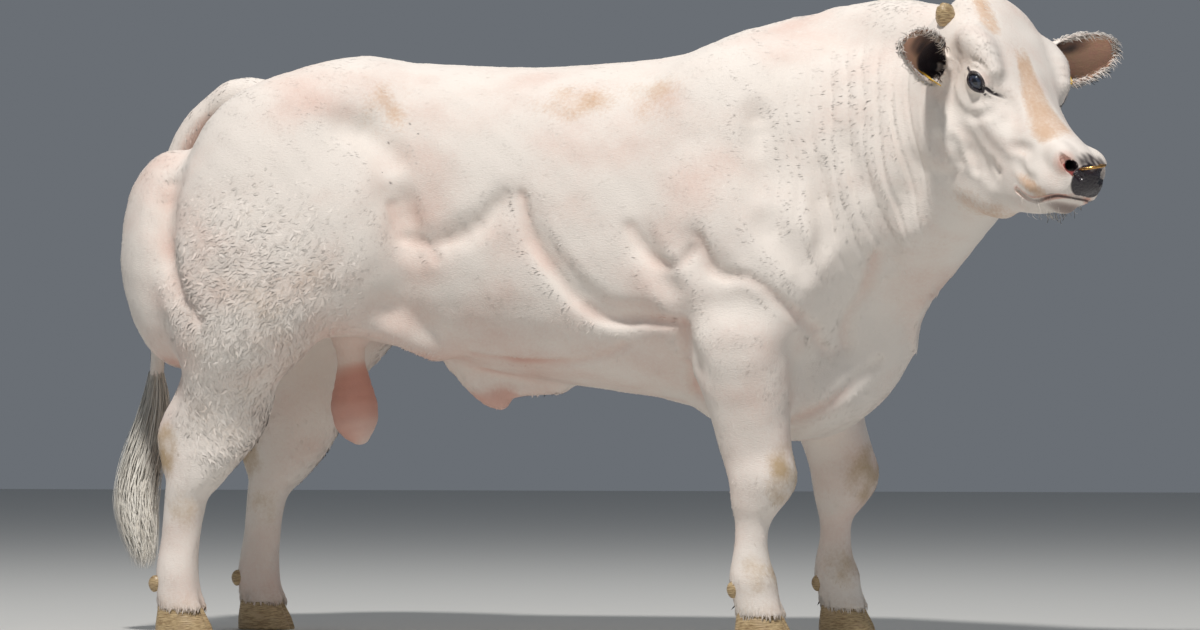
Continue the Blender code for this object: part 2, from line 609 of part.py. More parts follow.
# For each side the ear's root, the way that it points and the way that it opens, along the head's own axes.
EAR_SET = {
    -1: ((-0.148, -0.142, -0.019), (0.36, -0.85, 0.30), (0.76, 0.16, 0.46)),
    1: ((-0.157, 0.129, 0.037), (0.30, 0.79, 0.53), (0.84, -0.36, 0.10)),
}
EAR_LONG = 0.21
# How far along each ear its tag sits, and how far round from the ear's back, in degrees.
TAG_AT = {-1: (0.080, 62.0), 1: (0.068, 62.0)}
# (place along, radius of the arc, half angle)
EAR = [(0.0, 0.024, 150), (0.16, 0.036, 128), (0.32, 0.052, 98), (0.48, 0.060, 80), (0.62, 0.062, 70), (0.75, 0.058, 64),
       (0.86, 0.050, 58), (0.94, 0.038, 52), (1.0, 0.018, 48)]


def ear_frame(s):
    """Rows: along the ear, across it, and out of its opening."""
    at, way, opening = EAR_SET[s]
    way, opening = unit(way) @ HEAD_AXES, unit(opening) @ HEAD_AXES
    opening = unit(opening - way * (opening @ way))
    return on_head(*at), np.array([way, np.cross(opening, way), opening])


def tag_frame(s, thick=0.006):
    """The inner wall of the ear's lower side where its tag sits: along the ear, along the wall, and off it."""
    at, axes = ear_frame(s)
    along, turn = TAG_AT[s]
    t = along / EAR_LONG
    r = float(curve(t, [row[0] for row in EAR], [row[1] for row in EAR])) - thick
    a = math.radians(turn)
    wall = np.array([along, -s * math.sin(a) * r, r + thick + 0.012 * t * t - math.cos(a) * r])
    off = np.array([0, s * math.sin(a), math.cos(a)])
    rows = np.array([[1, 0, 0], np.cross(off, [1, 0, 0]) * -s, off])
    return at + wall @ axes, rows @ axes


def ear(s, rows=9, cols=7, thick=0.006):
    """A cupped leaf: arcs that open out along the ear, given an inside and an outside."""
    at, axes = ear_frame(s)
    along, radius, angle = np.array(EAR).T
    layers = []
    for lift in (0.0, thick):
        layer = []
        for u in np.linspace(0, 1, rows):
            r, half = curve(u, along, radius), math.radians(curve(u, along, angle))
            line = []
            for k in np.linspace(-1, 1, cols):
                thin = lift * (1 - 0.55 * abs(k) ** 3)
                v = (r - thin) * math.sin(k * half)
                w = r - (r - thin) * math.cos(k * half)
                line.append(at + np.array([u * EAR_LONG, v, w + 0.012 * u * u]) @ axes)
            layer.append(line)
        layers.append(layer)
    points = [p for layer in layers for line in layer for p in line]
    n = rows * cols
    faces = []
    for i in range(rows - 1):
        for k in range(cols - 1):
            a = i * cols + k
            faces += [(a, a + 1, a + cols + 1, a + cols), (n + a, n + a + cols, n + a + cols + 1, n + a + 1)]
        for k, turn in ((0, 1), (cols - 1, -1)):
            a = i * cols + k
            faces.append((a, a + cols, n + a + cols, n + a)[::turn])
    for i, turn in ((0, -1), (rows - 1, 1)):
        for k in range(cols - 1):
            a = i * cols + k
            faces.append((a, a + 1 - 0, n + a + 1, n + a)[::-turn])
    obj = mesh("ear_" + NAMES[s], points, faces)
    bm = bmesh.new()
    bm.from_mesh(obj.data)
    bmesh.ops.recalc_face_normals(bm, faces=bm.faces)
    bmesh.ops.triangulate(bm, faces=bm.faces)
    bm.to_mesh(obj.data)
    bm.free()
    return obj


def tag(s):
    """A bare plate inside the ear, its pin through the ear and a button behind."""
    at, frame = tag_frame(s)
    piece = box((-0.026, -0.018, 0.0060), (0.026, 0.036, 0.0085), turn=frame, at=at)
    pin = box((-0.004, -0.004, -0.0105), (0.004, 0.004, 0.0070), turn=frame, at=at)
    button = box((-0.011, -0.011, -0.0125), (0.011, 0.011, -0.0095), turn=frame, at=at)
    for other in (pin, button):
        combine(piece, other, "UNION")
        drop(other)
    piece.name = "ear_tag_" + NAMES[s]
    return piece


# The horn buds: place, half sizes and the way that they point.
BUD_AT = (-0.185, 0.122, 0.094)
BUD_SIZE = (0.021, 0.022, 0.030)
BUD_WAY = (-0.15, 0.50, 0.85)
RING_AT = (0.322, 0, 0.018)
RING_RISE = 0.18


def bud_axes(s):
    way = unit(np.array(BUD_WAY) * (1, s, 1))
    ahead = unit(np.array((1.0, 0, 0)) - way * way[0])
    return np.array([ahead, np.cross(way, ahead), way]) @ HEAD_AXES


def nose_ring(major=0.030, minor=0.0032, around=24, sides=6):
    centre = on_head(*RING_AT)
    forward = unit(HEAD_AXES[0] * (1, 1, 0))
    left = unit(np.cross((0, 0, 1), forward) + (0, 0, RING_RISE))
    up = np.cross(forward, left)
    rings = []
    for a in np.linspace(0, 2 * math.pi, around, endpoint=False):
        out = math.cos(a) * forward + math.sin(a) * left
        rings.append([centre + out * (major + minor * math.cos(t)) + up * minor * math.sin(t)
                      for t in np.linspace(0, 2 * math.pi, sides, endpoint=False)])
    return tube("nose_ring", rings, closed=True)


def foot(s, stance, x):
    dx, y = stance[s]
    return np.array([x + dx, s * y, 0.0])


def claw(name, at, inner):
    """One claw: flat below and above, straight against its twin, round outside."""
    rows = [(0.0, 0.078, -0.054, 0.056, 0.010), (0.03, 0.068, -0.054, 0.055, 0.006), (SOLE - GAP, 0.044, -0.050, 0.047, 0.002)]
    rings = []
    for z, toe, heel, wide, split in rows:
        outline = [(heel, 0.008), (heel + 0.004, wide * 0.75), (heel + 0.03, wide * 0.97), ((toe + heel) / 2 + 0.01, wide),
                   (toe - 0.022, wide * 0.82), (toe - 0.004, wide * 0.45), (toe, wide * 0.22 + split * 0.4),
                   (toe - 0.012, 0.0015 + split * 0.5), (0.0, 0.0015), (heel + 0.012, 0.0015)]
        rings.append([at + np.array([x, inner * w, z]) for x, w in outline])
    return tube(name, rings)


SWITCH = [(-1.128, 0.62), (-1.133, 0.55), (-1.150, 0.47), (-1.172, 0.39), (-1.180, 0.31), (-1.172, 0.24), (-1.160, 0.18)]


def lock(root, way, length, wide, bend, rings=5):
    """One flat, tapered lock of three-sided rings, from its root down along a bending line."""
    side = unit(np.cross(way, (0, 0, 1)))
    points = []
    for i in range(rings):
        t = i / (rings - 1)
        centre = np.array(root) + np.array([0, 0, -length * t]) + way * bend * math.sin(math.pi * min(1, t * 0.95)) * 0.7
        centre = centre + way * 0.012 * math.sin(5 * t + root[2] * 40)
        half = wide * (0.55 + 1.1 * t * (1 - t) * 2) * (1 - t ** 3) + 0.0012
        thick = 0.8 * half * (1 - 0.4 * t)
        points.append([centre + side * half, centre + way * thick, centre - side * half])
    return tube("lock", points)


def tail_switch(tail):
    """Locks around the end of the tail, joined to a core that the tail runs down into."""
    xs, zs = np.array(SWITCH).T[0], np.array(SWITCH).T[1]
    core = [(curve(z, zs[::-1], xs[::-1]), 0, z, r) for z, r in
            ((0.655, 0.024), (0.60, 0.030), (0.52, 0.036), (0.43, 0.034), (0.36, 0.014))]
    piece = round_tube("tail_switch", core, 8)
    locks = bpy.data.collections.new("locks")
    rng = np.random.default_rng(7)
    count = 23
    for i in range(count):
        t = i / (count - 1)
        z = 0.61 - 0.19 * t + rng.uniform(-0.01, 0.01)
        a = i * 2.39996
        way = np.array([math.cos(a), math.sin(a) * 0.8, 0.0])
        x = curve(z, zs[::-1], xs[::-1])
        root = np.array([x, 0, z]) + way * 0.012
        length = (0.22 + 0.10 * rng.random()) * (1.15 - 0.35 * t)
        length = min(length, z - 0.17)
        piece_lock = lock(root, way, length, 0.021 + 0.007 * rng.random(), 0.032 + 0.022 * rng.random())
        for v in piece_lock.data.vertices:
            low = max(0.0, root[2] - v.co.z)
            v.co.x += curve(root[2] - low, zs[::-1], xs[::-1]) - x
        bpy.context.scene.collection.objects.unlink(piece_lock)
        locks.objects.link(piece_lock)
    m = piece.modifiers.new("locks", "BOOLEAN")
    m.operation, m.solver, m.operand_type, m.collection = "UNION", "EXACT", "COLLECTION", locks
    m.use_self = True
    applied(piece)
    drop(*list(locks.objects))
    largest(piece)
    return piece


def material(name, colour, rough=0.6):
    m = bpy.data.materials.new(name)
    m.diffuse_color = (*colour, 1)
    m.use_nodes = True
    shader = m.node_tree.nodes["Principled BSDF"]
    shader.inputs["Base Color"].default_value = (*colour, 1)
    shader.inputs["Roughness"].default_value = rough
    return m


def build():
    clay = whole()
    bull = {}
    neck_way = unit((0.93, -0.30, 0.20))
    neck_axes = np.array([neck_way, unit(np.cross((0, 0, 1), neck_way)), np.cross(neck_way, unit(np.cross((0, 0, 1), neck_way)))])
    head_way = unit((0.883, 0, 0.469)) @ HEAD_AXES
    head_axes = np.array([head_way, HEAD_AXES[1], np.cross(head_way, HEAD_AXES[1])])
    neck_at, head_at = np.array([0.62, -0.03, 1.10]), on_head(-0.19, 0, -0.05)
    beyond_neck = ((0, -1.2, -1.2), (1.2, 1.2, 1.2))
    behind = ((-1.2, -1.2, -1.2), (0, 1.2, 1.2))

    bull["torso"] = shaped(clay, "torso", (-1.22, -0.46, 0.40), (0.98, 0.46, 1.56), 0.018, 3200)
    bull["neck"] = shaped(clay, "neck", (0.45, -0.46, 0.45), (1.16, 0.34, 1.60), 0.018, 1600)
    bull["head"] = shaped(clay, "head", (0.80, -0.80, 0.86), (1.44, -0.04, 1.60), 0.0075, 4700)
    cutters = [box(*beyond_neck, by=GAP / 2, turn=neck_axes, at=neck_at)]
    for s in SIDES:
        dx = FORE[s][0]
        room = sorted((s * 0.135, s * 0.46))
        spans = {"foreleg_": ((0.22, room[0], 0.2), (0.74, room[1], 0.605)), "hindleg_": ((-1.10, room[0] if s > 0 else room[0], 0.2), (-0.60, room[1], 0.655))}
        for part, maker, step, count in (("foreleg_", FORE, 0.0125, 900), ("hindleg_", HIND, 0.0125, 1000)):
            (x0, y0, z0), (x1, y1, z1) = spans[part]
            y0, y1 = (min(s * 0.10, s * 0.46), max(s * 0.10, s * 0.46))
            name = part + NAMES[s]
            bull[name] = shaped(clay, name, (x0 - 0.05, y0 - 0.05, 0.0), (x1 + 0.08, y1 + 0.05, z1 + 0.08), step, count)
            inside = box((x0, y0, SOLE), (x1, y1, z1), by=0)
            combine(bull[name], inside, "INTERSECT")
            drop(inside)
            cutters.append(box((x0, y0, 0.0), (x1, y1, z1), by=GAP))
    spans = {"scrotum": ((-0.74, -0.09, 0.40), (-0.53, 0.09, 0.668), 340), "sheath": ((-0.37, -0.075, 0.40), (-0.14, 0.075, 0.602), 260)}
    for name, (low, high, count) in spans.items():
        bull[name] = shaped(clay, name, np.array(low) - 0.04, np.array(high) + 0.04, 0.010, count)
        inside = box(low, high)
        combine(bull[name], inside, "INTERSECT")
        drop(inside)
        cutters.append(box(low, high, by=GAP))
    for cutter in cutters:
        combine(bull["torso"], cutter, "DIFFERENCE")
        drop(cutter)
    for name, corners, axes, at in (("neck", beyond_neck, neck_axes, neck_at), ("neck", behind, head_axes, head_at),
                                    ("head", beyond_neck, head_axes, head_at)):
        inside = box(*corners, by=-GAP / 2, turn=axes, at=at)
        combine(bull[name], inside, "INTERSECT")
        drop(inside)

    x, y, z, r = EYE
    for s in SIDES:
        at = on_head(x, s * y, z)
        bull["eye_" + NAMES[s]] = ball("eye_" + NAMES[s], at, (r, r, r), 14, 8, HEAD_AXES)
        bull["horn_bud_" + NAMES[s]] = ball("horn_bud_" + NAMES[s], on_head(BUD_AT[0], s * BUD_AT[1], BUD_AT[2]),
                                            BUD_SIZE, 10, 7, bud_axes(s))
        bull["ear_" + NAMES[s]] = ear(s)
        bull["ear_tag_" + NAMES[s]] = tag(s)
    bull["nose_ring"] = nose_ring()
    for part in ("nose_ring", "eye_right", "eye_left", "horn_bud_right", "horn_bud_left"):
        make_room(bull["head"], bull[part])
    for s in SIDES:
        make_room(bull["ear_" + NAMES[s]], bull["ear_tag_" + NAMES[s]], by=2 * GAP)
        make_room(bull["ear_" + NAMES[s]], bull["head"], by=3 * GAP)
    tail = [(x, 0.0, z, r) for x, z, r in TAIL]
    bull["tail"] = round_tube("tail", smooth(tail, 2), 8)
    bull["tail_switch"] = tail_switch(bull["tail"])
    make_room(bull["torso"], bull["tail"])
    make_room(bull["tail_switch"], bull["tail"])
    for s in SIDES:
        for leg_name, stance, x in (("foreleg_", FORE, FORE_FOOT), ("hindleg_", HIND, HIND_FOOT)):
            at = foot(s, stance, x)
            for inner, which in ((1, "left"), (-1, "right")):
                short = leg_name[:4] + "_" + NAMES[s]
                name = short + "_claw_" + which
                bull[name] = claw(name, at, inner)
                name = short + "_dewclaw_" + which
                bull[name] = ball(name, at + (-0.056, inner * 0.030, 0.128), (0.017, 0.012, 0.020), 6, 4)
                make_room(bull[leg_name + NAMES[s]], bull[name])
    return bull


def largest(obj):
    """Keeps the biggest closed surface of a mesh."""
    bm = bmesh.new()
    bm.from_mesh(obj.data)
    left, groups = set(bm.verts), []
    while left:
        seed = [left.pop()]
        group = list(seed)
        while seed:
            v = seed.pop()
            for e in v.link_edges:
                o = e.other_vert(v)
                if o in left:
                    left.remove(o)
                    seed.append(o)
                    group.append(o)
        groups.append(group)
    groups.sort(key=len)
    bmesh.ops.delete(bm, geom=[v for g in groups[:-1] for v in g], context="VERTS")
    bm.to_mesh(obj.data)
    bm.free()


FINISH = {
    "coat": ((0.86, 0.80, 0.74), 0.8), "skin": ((0.66, 0.42, 0.40), 0.6), "eye": ((0.03, 0.03, 0.04), 0.1),
    "horn": ((0.62, 0.52, 0.36), 0.5), "brass": ((0.72, 0.48, 0.22), 0.3), "yellow plastic": ((0.85, 0.62, 0.06), 0.5),
    "hair": ((0.84, 0.81, 0.76), 0.8),
}


def finish_of(name):
    for key, finish in (("eye", "eye"), ("horn", "horn"), ("claw", "horn"), ("ring", "brass"), ("tag", "yellow plastic"),
                        ("switch", "hair"), ("scrotum", "skin")):
        if key in name:
            return finish
    return "coat"


def main():
    drop(*list(bpy.data.objects))
    bull = build()
    looks = {name: material(name, *look) for name, look in FINISH.items()}
    for name, obj in bull.items():
        largest(obj)
        obj.name = name
        obj.data.materials.clear()
        obj.data.materials.append(looks[finish_of(name)])
    corners = np.array([v.co for obj in bull.values() for v in obj.data.vertices])
    low, high = corners.min(0), corners.max(0)
    middle = Vector(((low[0] + high[0]) / 2, (low[1] + high[1]) / 2, low[2]))
    for obj in bull.values():
        for v in obj.data.vertices:
            v.co -= middle
    for name, obj in sorted(bull.items()):
        print("node", name, sum(len(p.vertices) - 2 for p in obj.data.polygons))
    print("moved by", tuple(round(v, 5) for v in middle), "size", tuple(round(v, 4) for v in high - low))


if __name__ == "__main__":
    main()
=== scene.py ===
"""A standing Belgian Blue bull: skin, coat, eyes, claws, tail hair and worn pieces around its frame."""

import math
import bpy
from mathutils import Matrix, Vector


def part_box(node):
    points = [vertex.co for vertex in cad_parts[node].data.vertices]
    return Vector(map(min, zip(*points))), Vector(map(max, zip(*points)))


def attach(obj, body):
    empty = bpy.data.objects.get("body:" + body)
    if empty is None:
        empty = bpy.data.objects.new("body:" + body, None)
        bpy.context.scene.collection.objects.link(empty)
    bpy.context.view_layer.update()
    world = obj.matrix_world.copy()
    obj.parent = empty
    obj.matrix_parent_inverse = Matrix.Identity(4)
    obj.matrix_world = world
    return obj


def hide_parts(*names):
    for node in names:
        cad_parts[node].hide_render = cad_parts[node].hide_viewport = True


bl_info = {
    "name": "Belgian Blue bull",
    "version": (1, 0, 0),
    "blender": (4, 5, 0),
    "location": "3D View > Sidebar > Bull",
    "description": "Dresses the frame of a standing bull with skin, hair, eyes, claws and what it wears",
    "category": "Object",
}

import bmesh
import bpy
import numpy as np
from mathutils import Matrix, Vector

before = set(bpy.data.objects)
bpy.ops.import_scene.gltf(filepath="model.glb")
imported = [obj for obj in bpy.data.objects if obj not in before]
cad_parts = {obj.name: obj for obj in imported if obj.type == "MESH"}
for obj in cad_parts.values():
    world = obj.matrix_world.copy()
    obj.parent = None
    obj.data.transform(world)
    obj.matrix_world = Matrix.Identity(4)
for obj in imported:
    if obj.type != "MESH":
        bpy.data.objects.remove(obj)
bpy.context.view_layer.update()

# Metres in the drawing frame: X toward the head, Y to the animal's left, Z up, soles on Z = 0.
SIDES = (-1, 1)
NAMES = {-1: "right", 1: "left"}
# (x, top, bottom, half width, height of the widest place, squareness)
TORSO = [
    (-1.03, 1.04, 0.86, 0.05, 0.95, 2.0),
    (-0.95, 1.150, 0.79, 0.12, 0.99, 2.1),
    (-0.85, 1.270, 0.755, 0.19, 1.03, 2.2),
    (-0.72, 1.358, 0.735, 0.24, 1.06, 2.3),
    (-0.60, 1.398, 0.715, 0.27, 1.06, 2.4),
    (-0.42, 1.378, 0.675, 0.29, 1.03, 2.5),
    (-0.20, 1.364, 0.620, 0.325, 0.98, 2.5),
    (0.02, 1.364, 0.588, 0.348, 0.95, 2.5),
    (0.22, 1.382, 0.550, 0.335, 0.95, 2.4),
    (0.40, 1.412, 0.495, 0.30, 0.97, 2.3),
    (0.54, 1.405, 0.495, 0.25, 1.00, 2.2),
    (0.66, 1.34, 0.575, 0.18, 1.00, 2.1),
    (0.76, 1.20, 0.70, 0.08, 0.98, 2.0),
]
HEAD_AT = np.array([1.040, -0.352, 1.222])
HEAD_TURN = (-34.0, -43.0, -7.0)
# The same columns for the head, along its own axis from the poll to the muzzle.
SKULL = [
    (-0.275, 0.075, -0.05, 0.05, 0.02, 2.0),
    (-0.235, 0.124, -0.12, 0.108, 0.03, 2.2),
    (-0.16, 0.147, -0.190, 0.132, 0.03, 2.6),
    (-0.07, 0.134, -0.214, 0.132, 0.03, 2.9),
    (0.0, 0.103, -0.220, 0.121, 0.02, 2.8),
    (0.07, 0.066, -0.214, 0.100, -0.01, 2.5),
    (0.14, 0.048, -0.196, 0.083, -0.035, 2.4),
    (0.20, 0.041, -0.172, 0.073, -0.04, 2.3),
    (0.25, 0.038, -0.144, 0.069, -0.04, 2.3),
    (0.295, 0.028, -0.104, 0.062, -0.035, 2.2),
    (0.330, 0.0, -0.062, 0.040, -0.030, 2.0),
]
EYE = (0.0, 0.113, 0.029, 0.024)
EYE_OUT = (0.50, 0.85, 0.14)
EYE_TILT = -22.0
FORE = {-1: (0.0, 0.25), 1: (0.098, 0.225)}
HIND = {-1: (0.0, 0.235), 1: (0.045, 0.205)}
FORE_FOOT = 0.447
HIND_FOOT = -0.968
# (x, z, radius) down the middle of the tail.
TAIL = [
    (-0.80, 1.275, 0.046), (-0.86, 1.305, 0.042), (-0.925, 1.31, 0.037), (-0.995, 1.275, 0.034),
    (-1.055, 1.205, 0.031), (-1.09, 1.12, 0.028), (-1.108, 1.02, 0.026), (-1.118, 0.90, 0.024),
    (-1.122, 0.78, 0.022), (-1.125, 0.68, 0.020), (-1.128, 0.62, 0.018),
]
# (x, z) down the middle of the hair at the tail's end.
SWITCH = [(-1.128, 0.62), (-1.133, 0.55), (-1.150, 0.47), (-1.172, 0.39), (-1.180, 0.31), (-1.172, 0.24),
          (-1.160, 0.18)]
# For each side the ear's root, the way that it points and the way that it opens, along the head's own axes.
EAR_SET = {
    -1: ((-0.148, -0.142, -0.019), (0.36, -0.85, 0.30), (0.76, 0.16, 0.46)),
    1: ((-0.157, 0.129, 0.037), (0.30, 0.79, 0.53), (0.84, -0.36, 0.10)),
}
EAR_LONG = 0.21
EAR_THICK = 0.0085
# (place along, radius of the arc, half angle)
EAR = [
    (0.0, 0.024, 150), (0.16, 0.036, 128), (0.32, 0.052, 98), (0.48, 0.060, 80), (0.62, 0.062, 70),
    (0.75, 0.058, 64), (0.86, 0.050, 58), (0.94, 0.038, 52), (1.0, 0.018, 48),
]
# The horn buds: place, half sizes and the way that they point.
BUD_AT = (-0.185, 0.122, 0.094)
BUD_SIZE = (0.021, 0.022, 0.030)
BUD_WAY = (-0.15, 0.50, 0.85)
RING_AT = (0.322, 0, 0.018)
RING_RISE = 0.18
# How far along each ear its tag sits, and how far round from the ear's back, in degrees.
TAG_AT = {-1: (0.080, 62.0), 1: (0.068, 62.0)}
# Lines where one muscle meets the next, as (x, z) on the body's side, the groove's radius and its softness.
CREASES = [
    ([(-0.975, 1.10), (-0.982, 1.06), (-0.982, 0.99), (-0.975, 0.92), (-0.955, 0.86), (-0.932, 0.80),
      (-0.90, 0.74)],
     0.014, 0.055),
    ([(-0.42, 1.07), (-0.395, 0.99), (-0.384, 0.945), (-0.362, 0.90)], 0.013, 0.055),
    ([(-0.362, 0.925), (-0.31, 0.93), (-0.247, 0.95), (-0.194, 0.973), (-0.144, 1.023), (-0.105, 1.045)],
     0.009, 0.055),
    ([(-0.10, 1.045), (-0.079, 0.957), (-0.028, 0.883), (0.036, 0.808), (0.088, 0.764), (0.183, 0.745),
      (0.265, 0.735)],
     0.010, 0.055),
    ([(0.164, 0.954), (0.207, 0.891), (0.249, 0.822), (0.284, 0.769)], 0.009, 0.055),
    ([(0.30, 0.95), (0.345, 0.87), (0.40, 0.832)], 0.010, 0.055),
    ([(0.285, 0.76), (0.285, 0.69), (0.31, 0.62)], 0.013, 0.055),
    ([(0.446, 1.231), (0.458, 1.183), (0.464, 1.138)], 0.008, 0.055),
    ([(0.483, 0.978), (0.512, 0.921), (0.555, 0.871)], 0.009, 0.055),
    ([(-0.56, 1.23), (-0.47, 1.17), (-0.40, 1.10)], 0.011, 0.055),
]
NECK_CREASES = [
    ([(0.648, 1.175), (0.671, 1.102), (0.694, 1.045), (0.721, 0.999)], 0.008, 0.040),
    ([(0.588, 1.115), (0.606, 1.012), (0.615, 0.933), (0.61, 0.871)], 0.008, 0.040),
    ([(0.721, 1.008), (0.745, 0.919), (0.739, 0.84)], 0.010, 0.040),
    ([(0.541, 0.938), (0.564, 0.876), (0.58, 0.833)], 0.010, 0.040),
    ([(0.815, 1.263), (0.826, 1.128), (0.803, 1.018), (0.785, 0.95)], 0.012, 0.060),
]


def unit(v):
    v = np.asarray(v, float)
    return v / np.linalg.norm(v, axis=-1, keepdims=v.ndim > 1)


def turned(pitch=0.0, yaw=0.0, roll=0.0):
    """Rows are the forward, left and up axes of a piece pitched nose up, yawed left, rolled right."""
    p, w, r = np.radians([pitch, yaw, roll])
    forward = np.array([np.cos(p) * np.cos(w), np.cos(p) * np.sin(w), np.sin(p)])
    left = np.array([-np.sin(w), np.cos(w), 0.0])
    up = np.cross(forward, left)
    left, up = left * np.cos(r) + up * np.sin(r), up * np.cos(r) - left * np.sin(r)
    return np.array([forward, left, up])


HEAD_AXES = turned(*HEAD_TURN)
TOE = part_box("fore_right_claw_left")[0]
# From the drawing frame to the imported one, by the heel and the split of the near fore claw.
SHIFT = np.array([TOE.x + 0.054 - FORE_FOOT - FORE[-1][0], TOE.y - 0.0015 + FORE[-1][1], 0.0])


def on_head(*p):
    return HEAD_AT + np.array(p, float) @ HEAD_AXES


def to_head(points):
    return (np.asarray(points) - HEAD_AT) @ HEAD_AXES.T


def curve(at, xs, ys):
    """A smooth line through the points, read at any place."""
    xs, ys = np.asarray(xs, float), np.asarray(ys, float)
    slope = np.gradient(ys, xs)
    i = np.clip(np.searchsorted(xs, at) - 1, 0, len(xs) - 2)
    h = xs[i + 1] - xs[i]
    t = np.clip((at - xs[i]) / h, 0, 1)
    rise = ys[i] * (1 + 2 * t) * (1 - t) ** 2 + ys[i + 1] * t * t * (3 - 2 * t)
    return rise + h * (slope[i] * t * (1 - t) ** 2 - slope[i + 1] * t * t * (1 - t))


def smooth(points, cuts=3):
    """The same chain of points with more of them along a smooth curve."""
    p = np.asarray(points, float)
    if len(p) < 3:
        return p
    along = np.concatenate([[0], np.cumsum(np.linalg.norm(np.diff(p[:, :3], axis=0), axis=1))])
    at = np.interp(np.arange((len(p) - 1) * cuts + 1) / cuts, np.arange(len(p)), along)
    return np.stack([curve(at, along, p[:, k]) for k in range(p.shape[1])], 1)


class Egg:
    def __init__(self, centre, radii, axes=None):
        self.centre = np.asarray(centre, float)
        self.radii = np.full(3, radii, float) if np.isscalar(radii) else np.asarray(radii, float)
        self.axes = np.eye(3) if axes is None else np.asarray(axes)
        reach = np.sqrt(((self.axes * self.radii[:, None]) ** 2).sum(0))
        self.low, self.high = self.centre - reach, self.centre + reach

    def distance(self, x, y, z):
        d = [x - self.centre[0], y - self.centre[1], z - self.centre[2]]
        near = far = 0.0
        for axis, r in zip(self.axes, self.radii):
            q = axis[0] * d[0] + axis[1] * d[1] + axis[2] * d[2]
            near = near + (q / r) ** 2
            far = far + (q / (r * r)) ** 2
        near = np.sqrt(near)
        return near * (near - 1) / np.maximum(np.sqrt(far), 1e-6)


class Limb:
    """A smooth chain of round cones through (x, y, z, radius), squeezed along its side axis."""

    def __init__(self, points, side=(0, 1, 0), flat=1.0, cuts=3):
        p = smooth(points, cuts)
        self.points, self.side, self.flat = p, unit(side), flat
        r = p[:, 3].max() * max(1.0, flat)
        self.low, self.high = p[:, :3].min(0) - r, p[:, :3].max(0) + r

    def distance(self, x, y, z):
        best = None
        s = self.side
        for a, b in zip(self.points[:-1], self.points[1:]):
            ab = b[:3] - a[:3]
            dx, dy, dz = x - a[0], y - a[1], z - a[2]
            t = np.clip((dx * ab[0] + dy * ab[1] + dz * ab[2]) / (ab @ ab), 0, 1)
            r = a[3] + (b[3] - a[3]) * t
            dx, dy, dz = dx - ab[0] * t, dy - ab[1] * t, dz - ab[2] * t
            across = dx * s[0] + dy * s[1] + dz * s[2]
            rest = dx * dx + dy * dy + dz * dz - across * across
            d = np.sqrt(np.maximum(rest + (across / self.flat) ** 2, 1e-12)) - r
            best = d if best is None else np.minimum(best, d)
        return best


class Barrel:
    """A loft along X over rows of (x, top, bottom, half width, widest height, squareness)."""

    def __init__(self, rows):
        r = np.asarray(rows, float)
        self.rows = r
        self.low = np.array([r[:, 0].min(), -r[:, 3].max(), r[:, 2].min()])
        self.high = np.array([r[:, 0].max(), r[:, 3].max(), r[:, 1].max()])

    def distance(self, x, y, z):
        xs = self.rows[:, 0]
        top, bottom, wide, waist, square = (curve(x, xs, self.rows[:, k]) for k in range(1, 6))
        up = np.where(z > waist, top - waist, waist - bottom)
        f = ((np.abs(y) / wide) ** square + (np.abs(z - waist) / up) ** square) ** (1 / square)
        side = (f - 1) * np.minimum(up, wide) * 0.9
        return np.maximum(side, np.maximum(xs[0] - x, x - xs[-1]))


class Loft:
    """A smooth tube along X over rows of (x, y centre, z centre, half y, half z, squareness)."""

    def __init__(self, rows):
        r = np.asarray(rows, float)
        self.rows = r
        self.low = np.array([r[:, 0].min(), (r[:, 1] - r[:, 3]).min(), (r[:, 2] - r[:, 4]).min()])
        self.high = np.array([r[:, 0].max(), (r[:, 1] + r[:, 3]).max(), (r[:, 2] + r[:, 4]).max()])

    def distance(self, x, y, z):
        xs = self.rows[:, 0]
        cy, cz, wide, tall, square = (curve(x, xs, self.rows[:, k]) for k in range(1, 6))
        f = ((np.abs(y - cy) / wide) ** square + (np.abs(z - cz) / tall) ** square) ** (1 / square)
        return np.maximum((f - 1) * np.minimum(wide, tall), np.maximum(xs[0] - x, x - xs[-1]))


class Cup:
    """An ear: an arc across that opens out along X, with Z out of its opening, as thick as its skin."""

    def __init__(self, rows, length, thick):
        self.rows, self.length, self.thick = np.asarray(rows, float), length, thick
        wide = self.rows[:, 1].max()
        self.low = np.array([-0.01, -wide - 0.01, -0.01])
        self.high = np.array([length + 0.01, wide + 0.01, 2 * wide + 0.02])

    def distance(self, x, y, z):
        u = np.clip(x / self.length, 0, 1)
        along, radius, angle = self.rows.T
        r, half = curve(u, along, radius), np.radians(curve(u, along, angle))
        middle = r - self.thick / 2
        down = z - 0.012 * u * u - r
        off = np.abs(y)
        turn = np.arctan2(off, -down)
        on_arc = np.abs(np.hypot(off, down) - middle)
        at_end = np.hypot(off - np.sin(half) * middle, down + np.cos(half) * middle)
        wall = np.where(turn < half, on_arc,
                        at_end) - self.thick / 2 * (1 - 0.25 * u + 0.4 * np.clip(1 - u / 0.35, 0, 1))
        return np.maximum(wall, np.maximum(-x, x - self.length))


class Almond:
    """The gap between two lids: X along it, Y out of the eye, Z up."""

    def __init__(self, long, above, below):
        self.long, self.above, self.below = long, above, below
        self.low, self.high = np.array([-long, 0.0, -below]), np.array([long, 0.06, above])

    def distance(self, x, y, z):
        t = np.clip(x / self.long, -1.4, 1.4)
        bow = 1 - np.abs(t) ** 2.4
        tall = np.where(z > 0, self.above, self.below)
        slope = 2.4 * np.abs(t) ** 1.4 * tall / self.long
        gap = (np.abs(z) - tall * bow) / np.sqrt(1 + slope * slope)
        return np.maximum(gap, -y)


